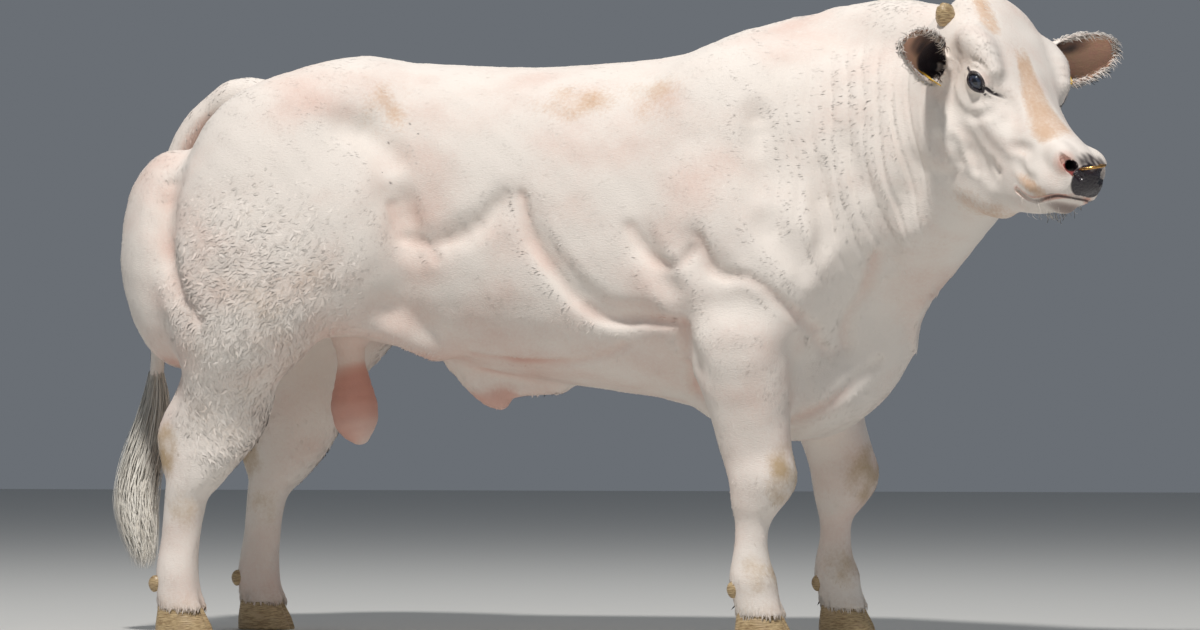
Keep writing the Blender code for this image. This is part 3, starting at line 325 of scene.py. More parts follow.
class Placed:
    """A shape given in a frame of its own: its origin, and rows for its axes."""

    def __init__(self, shape, at, axes):
        self.shape, self.at, self.axes = shape, np.asarray(at, float), np.asarray(axes)
        middle = (shape.low + shape.high) / 2
        half = (shape.high - shape.low) / 2
        centre = self.at + middle @ self.axes
        reach = np.abs(self.axes).T @ half
        self.low, self.high = centre - reach, centre + reach

    def distance(self, x, y, z):
        d = [x - self.at[0], y - self.at[1], z - self.at[2]]
        local = [a[0] * d[0] + a[1] * d[1] + a[2] * d[2] for a in self.axes]
        return self.shape.distance(*local)


# Half the length of the gap between the lids, and its height above and below the line through its corners.
LID_GAP = (0.0208, 0.0128, 0.0112)
CORNERS = np.array([(a, b, c) for a in (0, 1) for b in (0, 1) for c in (0, 1)])
EDGES = [(i, j) for i in range(8) for j in range(i + 1, 8) if np.abs(CORNERS[i] - CORNERS[j]).sum() == 1]


class Clay:
    """Shapes blended into each other, and the closed surface of the result inside a window."""

    def __init__(self):
        self.steps = []

    def add(self, shape, blend=0.02):
        self.steps.append((shape, blend, False))

    def carve(self, shape, blend=0.01):
        self.steps.append((shape, blend, True))

    @staticmethod
    def mixed(old, new, blend, away):
        if away:
            h = np.clip(0.5 - 0.5 * (new + old) / blend, 0, 1)
            return old + (-new - old) * h + blend * h * (1 - h)
        h = np.clip(0.5 + 0.5 * (old - new) / blend, 0, 1)
        return old + (new - old) * h - blend * h * (1 - h)

    def depth(self, points, reach=0.05):
        """Signed distance of points from the surface, below zero inside."""
        return self.blocks(np.asarray(points, float)[:, None, :], reach)[:, 0]

    def blocks(self, points, reach):
        """The same for rows of points that lie close together, each row near or far as a whole."""
        low, high = points.min(1), points.max(1)
        field = np.full(points.shape[:2], 1.0)
        for shape, blend, away in self.steps:
            margin = blend + reach
            near = np.flatnonzero(((high > shape.low - margin) & (low < shape.high + margin)).all(1))
            if len(near):
                x, y, z = np.moveaxis(points[near], -1, 0)
                field[near] = self.mixed(field[near], shape.distance(x, y, z), blend, away)
        return field

    def surface(self, low, high, step, at=(0, 0, 0), axes=np.eye(3), span=4):
        """Points and faces of the surface in a window of the given axes. Far from it the grid is coarse."""
        low = np.asarray(low, float)
        coarse = step * span
        n = np.ceil((np.asarray(high) - low) / coarse).astype(int)
        corner = low + coarse * np.stack(np.meshgrid(*[np.arange(k + 1) for k in n], indexing="ij"), -1)
        far = self.blocks((at + corner.reshape(-1, 3) @ axes)[:, None, :], 3 * coarse)[:, 0].reshape(n + 1)
        size = np.abs(far)
        near = np.min([size[a:n[0] + a, b:n[1] + b, c:n[2] + c] for a, b, c in CORNERS],
                      axis=0) < 1.3 * coarse
        place = np.argwhere(near)
        inner = np.stack(np.meshgrid(*[np.arange(span)] * 3, indexing="ij"), -1).reshape(-1, 3)
        index = place[:, None, :] * span + inner
        fine = np.repeat(np.repeat(np.repeat(far[:-1, :-1, :-1], span, 0), span, 1), span, 2)
        fine[tuple(np.moveaxis(index, -1, 0))] = self.blocks(at + (low + step * index) @ axes, 2 * step)
        for axis in range(3):
            for end in (0, -1):
                rim = [slice(None)] * 3
                rim[axis] = end
                fine[tuple(rim)] = np.maximum(fine[tuple(rim)], step * 0.5)
        points, faces = nets(fine, low, step)
        return at + points @ axes, faces

    def slope(self, points, e):
        return np.stack([(self.depth(points + e * k) - self.depth(points - e * k)) / (2 * e)
                         for k in np.eye(3)], 1)

    def snapped(self, points, step, rounds=2):
        """Draws points onto the surface."""
        for _ in range(rounds):
            g = self.slope(points, step * 0.2)
            move = -self.depth(points)[:, None] * g / np.maximum((g * g).sum(1), 0.3)[:, None]
            size = np.linalg.norm(move, axis=1, keepdims=True)
            points = points + move * np.minimum(1, 0.5 * step / np.maximum(size, 1e-9))
        return points


def nets(f, low, step):
    """One point in each grid cell that the surface crosses, and a square for each crossed edge."""
    n = np.array(f.shape)
    inside = f < 0
    count = np.zeros(n - 1, np.int8)
    for a, b, c in CORNERS:
        count += inside[a:n[0] - 1 + a, b:n[1] - 1 + b, c:n[2] - 1 + c]
    where = np.argwhere((count > 0) & (count < 8))
    value = f[tuple(np.moveaxis(where[:, None, :] + CORNERS, -1, 0))]
    total, hits = np.zeros((len(where), 3)), np.zeros(len(where))
    for i, j in EDGES:
        a, b = value[:, i], value[:, j]
        cross = (a < 0) != (b < 0)
        t = np.where(cross, a / np.where(cross, a - b, 1), 0)
        total += cross[:, None] * (CORNERS[i] + t[:, None] * (CORNERS[j] - CORNERS[i]))
        hits += cross
    number = np.full(n - 1, -1, np.int64)
    number[tuple(where.T)] = np.arange(len(where))
    points = low + step * (where + total / hits[:, None])
    squares = []
    for axis in range(3):
        b, c = [(1, 2), (2, 0), (0, 1)][axis]
        first, second = [slice(1, -1)] * 3, [slice(1, -1)] * 3
        first[axis], second[axis] = slice(0, -1), slice(1, None)
        s, e = inside[tuple(first)], inside[tuple(second)]
        for flip in (False, True):
            base = np.argwhere(~s & e if flip else s & ~e)
            base[:, b] += 1
            base[:, c] += 1
            ring = []
            for db, dc in ((-1, -1), (0, -1), (0, 0), (-1, 0)):
                q = base.copy()
                q[:, b] += db
                q[:, c] += dc
                ring.append(number[tuple(q.T)])
            ring = np.stack(ring, 1)
            squares.append(ring[:, ::-1] if flip else ring)
    return points, np.concatenate(squares)


def trunk(c):
    c.add(Barrel(TORSO), 0.02)
    for s in SIDES:
        c.add(Egg((-0.70, s * 0.165, 1.205), (0.27, 0.165, 0.145), turned(pitch=18)), 0.06)
        c.add(Egg((-0.755, s * 0.262, 0.965), (0.235, 0.145, 0.35), turned(pitch=-10)), 0.05)
        c.add(Egg((-0.555, s * 0.235, 0.965), (0.14, 0.13, 0.235), turned(pitch=-6)), 0.06)
        c.add(Egg((-0.995, s * 0.188, 0.905), (0.143, 0.145, 0.265), turned(pitch=3)), 0.045)
        fold = [(-0.62, s * 0.24, 0.80, 0.06), (-0.50, s * 0.22, 0.745, 0.03), (-0.36, s * 0.16, 0.69, 0.03)]
        c.add(Limb(fold), 0.06)
        c.add(Egg((0.36, s * 0.185, 1.12), (0.20, 0.15, 0.26), turned(pitch=-14)), 0.08)
        c.add(Egg((0.33, s * 0.255, 0.87), (0.17, 0.13, 0.20), turned(pitch=-20)), 0.06)
        c.add(Egg((0.50, s * 0.235, 0.87), (0.13, 0.135, 0.19), turned(pitch=-8)), 0.07)
        c.add(Egg((0.46, s * 0.08, 0.585), (0.19, 0.12, 0.11)), 0.05)
        c.add(Egg((-0.79, s * 0.30, 0.83), (0.19, 0.105, 0.21), turned(pitch=-14)), 0.06)
        c.add(Egg((0.335, s * 0.30, 0.985), (0.115, 0.075, 0.13), turned(pitch=-20)), 0.06)
    spine = [(-0.95, 0, 1.22, 0.012), (-0.60, 0, 1.41, 0.014), (-0.2, 0, 1.375, 0.014),
             (0.15, 0, 1.385, 0.01)]
    c.carve(Limb(spine), 0.05)


def first_inside(c, starts, steps):
    """How many steps each place takes from its start until it is inside, or -1, and where it then is."""
    rows = starts[:, None, :] + steps
    inside = c.blocks(rows, 0.05) < 0
    count = np.where(inside.any(1), inside.argmax(1), -1)
    return count, rows[np.arange(len(rows)), count]


def crease(c, s, line, radius, blend):
    """A groove along the body's side, fading at its ends. Its places are found from outside."""
    points = smooth([(x, 0, z, radius) for x, z in line], 3)
    count, found = first_inside(c, points[:, :3], np.linspace(0.60, 0.0, 121)[:, None] * (0, s, 0))
    fade = blend * np.linspace(-1, 1, len(points)) ** 4
    found[:, 1] += s * (0.005 + fade)
    return Limb(np.column_stack([found, points[:, 3]])[count >= 0], cuts=1), blend


def grooves(c):
    lines = [crease(c, s, *row) for s in SIDES for row in CREASES] + [crease(c, -1, *row)
                                                                      for row in NECK_CREASES]
    for shape, blend in lines:
        c.carve(shape, blend)


def throat(c):
    """The neck as sections across the line from the chest to the poll."""
    forward = unit((0.80, -0.30, 0.16))
    side = unit(np.cross((0, 0, 1), forward))
    axes = np.array([forward, side, np.cross(forward, side)])
    rows = [
        (-0.34, 0.0, -0.04, 0.10, 0.12, 2.0), (-0.20, 0.0, -0.03, 0.20, 0.27, 2.1),
        (-0.06, 0.0, -0.01, 0.25, 0.34, 2.2),
        (0.06, 0.0, 0.005, 0.262, 0.36, 2.2), (0.20, -0.012, 0.012, 0.235, 0.325, 2.2),
        (0.34, -0.03, 0.012, 0.190, 0.285, 2.2), (0.46, -0.05, 0.012, 0.145, 0.245, 2.2),
        (0.57, -0.065, 0.0, 0.112, 0.20, 2.1), (0.68, -0.075, -0.01, 0.09, 0.14, 2.0),
    ]
    c.add(Placed(Loft(rows), (0.42, 0.01, 1.045), axes), 0.08)
    crest = [(0.44, 0, 1.33, 0.075), (0.56, -0.02, 1.39, 0.08), (0.68, -0.075, 1.405, 0.085),
             (0.80, -0.16, 1.395, 0.082),
             (0.91, -0.235, 1.37, 0.072)]
    c.add(Limb(crest, side), 0.06)
    dewlap = [(0.88, -0.18, 1.04, 0.10), (0.78, -0.10, 0.93, 0.115), (0.68, -0.03, 0.80, 0.10),
              (0.61, 0, 0.66, 0.10)]
    c.add(Limb(dewlap, side, 0.75), 0.09)


def leg(c, s, stance, rows):
    """Rows are (height, x, half length, half width, out from the stance) down one leg."""
    dx, y = stance[s]
    loft = []
    for z, x, along, wide, out in rows:
        loft.append((-z, s * (y + out), x + dx * min(1.0, max(0.0, (0.80 - z) / 0.35)), wide, along, 2.25))
    c.add(Placed(Loft(loft), (0, 0, 0), [(0, 0, -1), (0, 1, 0), (1, 0, 0)]), 0.045)


FORELEG = [
    (0.86, 0.395, 0.04, 0.03, -0.03), (0.80, 0.395, 0.10, 0.08, -0.01), (0.72, 0.400, 0.130, 0.110, 0.020),
    (0.657, 0.4053, 0.1187, 0.108, 0.022), (0.588, 0.4159, 0.106, 0.095, 0.015),
    (0.502, 0.4266, 0.0913, 0.078, 0.006),
    (0.424, 0.4396, 0.0833, 0.066, 0.0), (0.365, 0.4443, 0.0742, 0.064, 0.0),
    (0.315, 0.4384, 0.0594, 0.054, 0.0),
    (0.285, 0.4301, 0.0455, 0.041, 0.0), (0.235, 0.4254, 0.040, 0.036, 0.0),
    (0.196, 0.4242, 0.0450, 0.042, 0.0),
    (0.153, 0.4289, 0.0548, 0.054, 0.0), (0.107, 0.4370, 0.0560, 0.053, 0.0),
    (0.07, 0.4480, 0.060, 0.056, 0.0),
    (0.03, 0.452, 0.064, 0.058, 0.0),
]
HINDLEG = [
    (0.88, -0.79, 0.04, 0.03, -0.02), (0.80, -0.80, 0.12, 0.09, 0.01), (0.72, -0.815, 0.142, 0.112, 0.025),
    (0.66, -0.83, 0.128, 0.105, 0.025), (0.602, -0.8436, 0.1157, 0.092, 0.015),
    (0.562, -0.8534, 0.1145, 0.082, 0.008),
    (0.526, -0.8707, 0.120, 0.073, 0.003), (0.481, -0.8905, 0.118, 0.066, 0.0),
    (0.421, -0.9127, 0.0943, 0.062, 0.0),
    (0.366, -0.9374, 0.0700, 0.056, 0.0), (0.330, -0.9572, 0.0545, 0.047, 0.0),
    (0.292, -0.9646, 0.0505, 0.041, 0.0),
    (0.218, -0.9745, 0.0500, 0.038, 0.0), (0.146, -0.9806, 0.0535, 0.052, 0.0),
    (0.107, -0.976, 0.055, 0.052, 0.0),
    (0.07, -0.967, 0.060, 0.056, 0.0), (0.03, -0.963, 0.064, 0.058, 0.0),
]


def legs(c):
    for s in SIDES:
        leg(c, s, FORE, FORELEG)
        dx, y = FORE[s]
        c.add(Egg((0.462 + dx, s * y, 0.385), (0.065, 0.066, 0.062)), 0.03)
        leg(c, s, HIND, HINDLEG)
        dx, y = HIND[s]
        heel = [(-0.92, y + 0.01, 0.62, 0.028), (-0.985, y, 0.53, 0.026), (-1.0, y, 0.478, 0.030),
                (-0.985, y, 0.42, 0.03)]
        c.add(Limb([(x + dx, s * w, z, r) for x, w, z, r in heel], flat=0.8), 0.035)


def feet(c):
    """The skin ends over the claws, cleft between them."""
    for s in SIDES:
        for stance, x in ((FORE, FORE_FOOT), (HIND, HIND_FOOT)):
            dx, y = stance[s]
            below = Egg((x + dx, s * y, -0.40), (0.9, 0.9, 0.466))
            below.low[:2], below.high[:2] = (x + dx - 0.15, s * y - 0.12), (x + dx + 0.15, s * y + 0.12)
            c.carve(below, 0.008)
            for end in (0.052, -0.050):
                c.carve(Limb([(x + dx + end, s * y, 0.05, 0.012), (x + dx + end, s * y, 0.105, 0.003)]),
                        0.014)


def face(c):
    def egg(at, radii, blend, pitch=0, yaw=0, roll=0):
        c.add(Egg(on_head(*at), radii, turned(pitch, yaw, roll) @ HEAD_AXES), blend)

    def line(points, blend, flat=1.0):
        c.add(Limb([(*on_head(*p[:3]), p[3]) for p in points], HEAD_AXES[1], flat), blend)

    c.add(Placed(Barrel(SKULL), HEAD_AT, HEAD_AXES), 0.035)
    egg((-0.180, 0, 0.118), (0.075, 0.090, 0.040), 0.03, pitch=-6)
    line([(0.02, 0, 0.045, 0.040), (0.14, 0, 0.010, 0.037), (0.26, 0, 0.004, 0.031)], 0.02)
    egg((0.294, 0, -0.008), (0.040, 0.061, 0.041), 0.02)
    egg((0.314, 0, -0.020), (0.029, 0.046, 0.027), 0.02)
    egg((0.278, 0, -0.092), (0.042, 0.042, 0.026), 0.016)
    for s in SIDES:
        egg((-0.008, s * 0.096, 0.034), (0.048, 0.028, 0.036), 0.02)
        line([(-0.085, s * 0.112, 0.094, 0.027), (-0.035, s * 0.112, 0.092, 0.025),
              (0.020, s * 0.104, 0.073, 0.013)], 0.03)
        line([(0.045, s * 0.098, -0.022, 0.011), (0.09, s * 0.088, -0.036, 0.012),
              (0.15, s * 0.072, -0.046, 0.010)], 0.03)
        egg((-0.06, s * 0.082, -0.115), (0.098, 0.045, 0.085), 0.03, pitch=24)
        egg((0.250, s * 0.042, -0.060), (0.080, 0.033, 0.036), 0.018, pitch=10)
        egg((0.272, s * 0.046, 0.008), (0.045, 0.026, 0.029), 0.015)
        x, y, z = EAR_SET[s][0]
        line([(x - 0.02, y * 0.68, z * 0.7, 0.040), (x - 0.006, y * 0.90, z, 0.020)], 0.03)
    c.add(Egg(on_head(0.05, 0, -0.20), (0.10, 0.05, 0.035), HEAD_AXES), 0.04)


# Down the near side of the mouth to the middle of its front, the nostril, and the tear line as (x, z).
MOUTH = [(0.212, 0.066, -0.116), (0.232, 0.062, -0.116), (0.258, 0.056, -0.112), (0.292, 0.052, -0.086),
         (0.322, 0.040, -0.062), (0.345, 0.0, -0.052)]
NOSTRIL = [(0.338, 0.030, -0.004), (0.322, 0.046, 0.008), (0.304, 0.058, 0.012), (0.288, 0.068, 0.020)]
TEAR = [(0.034, 0.031), (0.044, 0.029), (0.056, 0.030), (0.067, 0.031)]
# Folds of the cheek and round the eye: (x, z) on the side of the head, the groove's radius, its softness.
FOLDS = [
    ([(-0.066, -0.014), (-0.050, -0.034), (-0.020, -0.048), (0.028, -0.045), (0.060, -0.022),
      (0.080, 0.004)], 0.0050, 0.020),
    ([(-0.034, 0.064), (-0.008, 0.073), (0.020, 0.066)], 0.0022, 0.010),
    ([(-0.105, 0.050), (-0.082, 0.010), (-0.074, -0.030)], 0.007, 0.045),
    ([(-0.060, -0.040), (-0.010, -0.066), (0.034, -0.088), (0.083, -0.112), (0.124, -0.134),
      (0.150, -0.142)], 0.007, 0.034),
    ([(0.190, -0.060), (0.212, -0.070), (0.240, -0.072), (0.262, -0.064)], 0.0050, 0.022),
    ([(0.160, -0.040), (0.180, -0.030), (0.204, -0.020)], 0.0050, 0.022),
    ([(0.118, -0.100), (0.132, -0.112), (0.150, -0.112)], 0.0050, 0.020),
    ([(0.088, -0.150), (0.066, -0.124), (0.048, -0.110)], 0.0055, 0.022),
    ([(0.048, -0.160), (0.030, -0.130), (0.014, -0.112)], 0.0055, 0.022),
    ([(0.010, -0.175), (-0.010, -0.150), (-0.026, -0.130)], 0.0055, 0.022),
    ([(0.070, 0.036), (0.095, 0.026), (0.125, 0.004)], 0.008, 0.034),
]


def on_side(c, s, pairs, sunk=0.0):
    """Places on the side of the head: each (x, z) is found by walking in from outside."""
    starts = np.array([on_head(x, 0, z) for x, z in pairs])
    steps = np.linspace(0.20, 0.0, 101)[:, None] * s * HEAD_AXES[1]
    count, found = first_inside(c, starts, steps)
    local = to_head(found) - (0, s * sunk, 0)
    return [tuple(q) for q, n in zip(local, count) if n >= 0]


def face_marks(c):
    """The small hollows of the head: nostrils, the line of the mouth, folds of the cheek."""
    def cut(points, blend):
        c.carve(Limb([(*on_head(*p[:3]), p[3]) for p in points]), blend)

    for s in SIDES:
        for pairs, radius, blend in FOLDS:
            line = smooth([(x, z, 0) for x, z in pairs], 3)
            path = on_side(c, s, line[:, :2])
            n = max(1, len(path) - 1)
            lifted = [(x, y + s * (0.3 * radius + 0.7 * blend * (2 * i / n - 1) ** 4), z, radius)
                      for i, (x, y, z) in enumerate(path)]
            c.carve(Limb([(*on_head(*p[:3]), p[3]) for p in lifted], cuts=1), blend)
    cut([(0.347, 0, 0.010, 0.003), (0.361, 0, -0.018, 0.004), (0.358, 0, -0.044, 0.003)], 0.006)
    front = first_inside(c, np.array([on_head(0.42, 0, -0.052)]),
                         np.linspace(0, -0.15, 101)[:, None] * HEAD_AXES[0])[1]
    middle = to_head(front)[0]
    for s in SIDES:
        path = on_side(c, s, smooth([(x, z, 0) for x, _, z in MOUTH[:-1]], 2)[:, :2], 0.002)
        cut([(*p, 0.0048) for p in path] + [(middle[0] - 0.002, 0, middle[2], 0.004)], 0.005)
        nostril = [(x, s * y, z) for x, y, z in NOSTRIL]
        cut([(*p, r) for p, r in zip(nostril, (0.006, 0.0115, 0.0100, 0.003))], 0.005)
        cut([(0.314, s * 0.046, 0.006, 0.0115), (0.292, s * 0.036, 0.002, 0.0095),
             (0.264, s * 0.027, -0.004, 0.007)], 0.005)


def eye_frame(s):
    """The eyeball's place, and rows: along the gap between the lids, out of the eye, and up."""
    x, y, z, _ = EYE
    out = unit(np.array(EYE_OUT) * (1, s, 1))
    up = unit(np.array((0.0, 0.0, 1.0)) - out * out[2])
    along = np.cross(out, up) * s
    tilt = math.radians(EYE_TILT)
    along, up = along * math.cos(tilt) + up * math.sin(tilt), up * math.cos(tilt) - along * math.sin(tilt)
    return on_head(x, s * y, z), np.array([along, out, up]) @ HEAD_AXES


def on_eye(frame, along, up, radius):
    """A point on a ball round the eye, by its place along and above the gap."""
    at, axes = frame
    out = math.sqrt(max(1e-8, radius ** 2 - along ** 2 - up ** 2))
    return at + np.array([along, out, up]) @ axes


def eyelids(c):
    """Skin over each eyeball with an opening, folds above and below it, and a seat for the ball."""
    r = EYE[3]
    for s in SIDES:
        at, axes = eye_frame(s)
        c.add(Egg(at, r + 0.0040), 0.008)
        for rise, lift in ((0.0215, 0.0075), (-0.0190, 0.0065)):
            arc = []
            for a in np.linspace(0.35, math.pi - 0.35, 9):
                arc.append((*on_eye((at, axes), 0.0235 * math.cos(a), rise * math.sin(a), r + lift + 0.004),
                            0.0016))
            c.carve(Limb(arc, cuts=1), 0.0045)
        c.carve(Placed(Almond(*LID_GAP), at, axes), 0.0025)
        c.add(Egg(at, r - 0.0012), 0.0008)
        corner = [on_eye((at, axes), 0.0200, -0.001, r + 0.003),
                  on_eye((at, axes), 0.0245, -0.003, r + 0.007)]
        tear = [to_head(p) for p in corner] + [np.array(p) for p in on_side(c, s, TEAR, -0.001)]
        c.carve(Limb([(*on_head(*p), t) for p, t in zip(tear,
                                                        (0.0026, 0.0026, 0.0024, 0.0020, 0.0015, 0.0008))]),
                                                        0.005)


def ear_frame(s):
    """Rows: along the ear, across it, and out of its opening."""
    at, way, opening = EAR_SET[s]
    way, opening = unit(way) @ HEAD_AXES, unit(opening) @ HEAD_AXES
    opening = unit(opening - way * (opening @ way))
    return on_head(*at), np.array([way, np.cross(opening, way), opening])


def tag_frame(s):
    """Where the tag sits on the ear's inner wall: axes along the ear, out along the wall, and off it."""
    at, axes = ear_frame(s)
    along, turn = TAG_AT[s]
    t = along / EAR_LONG
    r = float(curve(t, [row[0] for row in EAR], [row[1] for row in EAR])) - EAR_THICK
    a = math.radians(turn)
    wall = np.array([along, -s * math.sin(a) * r, r + EAR_THICK + 0.012 * t * t - math.cos(a) * r])
    off = np.array([0, s * math.sin(a), math.cos(a)])
    rows = np.array([[1, 0, 0], np.cross(off, [1, 0, 0]) * -s, off])
    return at + wall @ axes, rows @ axes


def ears(c):
    along, radius, _ = np.array(EAR).T
    for s in SIDES:
        at, axes = ear_frame(s)
        c.add(Placed(Cup(EAR, EAR_LONG, EAR_THICK), at, axes), 0.010)
        hollow = []
        for u, share in ((0.03, 0.50), (0.10, 0.62), (0.16, 0.72), (0.24, 0.78), (0.34, 0.82), (0.46, 0.83)):
            r = float(curve(u, along, radius))
            hollow.append((*(at + np.array([u * EAR_LONG, 0, r + 0.012 * u * u]) @ axes), r * share))
        c.carve(Limb(hollow, cuts=2), 0.004)


def under_parts(c):
    c.add(Limb([(-0.30, 0, 0.63, 0.05), (-0.27, 0, 0.585, 0.036), (-0.245, 0, 0.56, 0.02)]), 0.04)
    c.add(Limb([(-0.36, 0, 0.655, 0.02), (-0.20, 0, 0.595, 0.022), (-0.10, 0, 0.60, 0.02)]), 0.04)
    c.add(Limb([(-0.63, 0, 0.74, 0.05), (-0.625, 0, 0.66, 0.032), (-0.620, 0, 0.60, 0.045),
                (-0.612, 0, 0.525, 0.055),
                (-0.602, 0, 0.487, 0.030)]), 0.02)


def tail_form(c):
    c.add(Limb([(x, 0, z, r) for x, z, r in TAIL]), 0.010)
    c.add(Limb([(x, 0, z - 0.01, r) for x, z, r in TAIL[:3]]), 0.05)


def whole():
    c = Clay()
    trunk(c)
    throat(c)
    legs(c)
    grooves(c)
    under_parts(c)
    tail_form(c)
    feet(c)
    face(c)
    face_marks(c)
    ears(c)
    eyelids(c)
    return c


# Where the fine mesh of the head meets that of the neck.
CUT_AT = on_head(-0.225, 0, -0.06)
CUT_WAY = unit((0.883, 0, 0.469)) @ HEAD_AXES
SEAM = 0.002


def faced(points, faces):
    bm = bmesh.new()
    data = bpy.data.meshes.new("draft")
    data.from_pydata(points.tolist(), [], faces.tolist())
    bm.from_mesh(data)
    bpy.data.meshes.remove(data)
    return bm


def positions(bm):
    return np.array([v.co for v in bm.verts])


def cut_off(bm, keep_far, offset):
    """Cuts the skin at the seam across the neck and keeps one side; the feet are left alone."""
    p = positions(bm)
    close = (np.linalg.norm(p - HEAD_AT, axis=1) < 0.75) & (p[:, 2] > 0.78)
    faces = [f for f in bm.faces if all(close[v.index] for v in f.verts)]
    edges = dict.fromkeys(e for f in faces for e in f.edges)
    verts = dict.fromkeys(v for f in faces for v in f.verts)
    place = Vector(CUT_AT + CUT_WAY * offset)
    bmesh.ops.bisect_plane(bm, geom=list(verts) + list(edges) + faces, dist=1e-6, plane_co=place,
                           plane_no=Vector(CUT_WAY), clear_inner=keep_far, clear_outer=not keep_far)
    loose = [v for v in bm.verts if not v.link_faces]
    bmesh.ops.delete(bm, geom=loose, context="VERTS")


def rim_of(bm):
    """The open edge at the seam: its points in order, from the highest, turning to the animal's left."""
    beside = {}
    for e in bm.edges:
        if len(e.link_faces) == 1 and all(abs((np.array(v.co) - CUT_AT) @ CUT_WAY) < 0.01 for v in e.verts):
            for v in e.verts:
                beside.setdefault(v, []).append(e.other_vert(v))
    chains = []
    while beside:
        chain = [max(beside, key=lambda v: v.co.z)]
        while True:
            ahead = [v for v in beside.pop(chain[-1]) if v in beside]
            if not ahead:
                break
            chain.append(ahead[0])
        chains.append(chain)
    chain = max(chains, key=len)
    p = np.array([v.co for v in chain]) - CUT_AT
    turn = np.cross(p, np.roll(p, -1, 0)).sum(0) @ CUT_WAY
    return chain if turn > 0 else chain[:1] + chain[:0:-1]


def joined(body, head):
    """Both meshes in one, with triangles between their open edges."""
    data = bpy.data.meshes.new("draft")
    head.verts.index_update()
    head.to_mesh(data)
    other = [v.index for v in rim_of(head)]
    a = rim_of(body)
    mark = len(body.verts)
    body.from_mesh(data)
    bpy.data.meshes.remove(data)
    body.verts.ensure_lookup_table()
    b = [body.verts[mark + i] for i in other]
    first = min(range(len(b)), key=lambda k: (b[k].co - a[0].co).length)
    b = b[first:] + b[:first]
    i = j = 0
    while i < len(a) or j < len(b):
        here, there = a[i % len(a)], b[j % len(b)]
        next_a, next_b = a[(i + 1) % len(a)], b[(j + 1) % len(b)]
        if j >= len(b) or (i < len(a) and (next_a.co - there.co).length <= (next_b.co - here.co).length):
            body.faces.new((here, next_a, there))
            i += 1
        else:
            body.faces.new((here, next_b, there))
            j += 1
    bmesh.ops.recalc_face_normals(body, faces=body.faces)
    return body


def near_details(local):
    """Places on the head that the mesh makes finer: about the eyes, the nostrils and the mouth."""
    fine = np.zeros(len(local), bool)
    for s in SIDES:
        fine |= np.linalg.norm(local - (EYE[0] + 0.006, s * (EYE[1] + 0.02), EYE[2]), axis=1) < 0.042
        for line, reach in ((NOSTRIL, 0.026), (MOUTH, 0.018)):
            for p in smooth([(x, s * y, z, 0) for x, y, z in line], 3):
                fine |= np.linalg.norm(local - p[:3], axis=1) < reach
    return fine


def skin_mesh(clay, body_step, head_step):
    """The whole skin as points and faces in the drawing frame."""
    points, faces = clay.surface((-1.26, -0.50, 0.045), (1.12, 0.50, 1.56), body_step)
    body = faced(clay.snapped(points, body_step, 1), faces)
    cut_off(body, False, -SEAM)
    points, faces = clay.surface((-0.42, -0.37, -0.50), (0.38, 0.37, 0.21), head_step, HEAD_AT, HEAD_AXES)
    head = faced(points, faces)
    fine = near_details(to_head(points))
    head.verts.ensure_lookup_table()
    edges = [e for e in head.edges if fine[e.verts[0].index] and fine[e.verts[1].index]]
    bmesh.ops.subdivide_edges(head, edges=edges, cuts=1, use_grid_fill=True)
    p = clay.snapped(positions(head), head_step, 2)
    for v, co in zip(head.verts, p):
        v.co = co
    cut_off(head, True, SEAM)
    head.verts.index_update()
    return joined(body, head)


def fade(value, start, end):
    t = np.clip((value - start) / (end - start), 0, 1)
    return t * t * (3 - 2 * t)


def wobble(p, size, seed, waves=9):
    """Smooth noise between about -1 and 1 with lumps of this size."""
    rng = np.random.default_rng(seed)
    way = unit(rng.normal(size=(waves, 3))) * (2 * math.pi / size) * rng.uniform(0.5, 1.2, (waves, 1))
    return np.sin(np.asarray(p) @ way.T + rng.uniform(0, 2 * math.pi, waves)).sum(1) / math.sqrt(waves) * 0.8


def spot(p, centre, radii, soft=0.35):
    d = np.linalg.norm((p - np.array(centre)) / np.array(radii), axis=1)
    return 1 - fade(d, 1 - soft, 1 + soft)


def stroke(p, line, width, soft=0.5):
    d = Limb([(*q, 0.0) for q in line]).distance(*p.T)
    return 1 - fade(d, width * (1 - soft), width * (1 + soft))


def most(*masks):
    return np.max(masks, axis=0)


# The pink mark also carries painted shade along the dips between muscles; the dark mark also carries painted
# shade in the ears' hollows, the nostrils and the crease of the mouth.
MARKS = ("pink", "tan", "dirt", "dark", "bare", "red")
# Places on the near side of the body: (x, y, z), radii.
HIP_TAN = [((-0.45, -0.255, 1.25), (0.055, 0.06, 0.075))]
BACK_TAN = [((0.024, -0.27, 1.256), (0.10, 0.08, 0.05)), ((0.20, -0.28, 1.262), (0.07, 0.08, 0.06))]
SPECKS = [
    (-0.444, -0.268, 1.199), (-0.443, -0.269, 1.164), (-0.445, -0.30, 1.096), (-0.429, -0.297, 1.07),
    (-0.541, -0.295, 1.192), (-0.39, -0.268, 1.21), (-0.369, -0.278, 1.185), (-0.565, -0.292, 1.292),
    (-1.018, -0.026, 1.229), (-1.04, -0.03, 1.20), (-0.98, -0.03, 1.262), (-1.055, -0.027, 1.165),
]
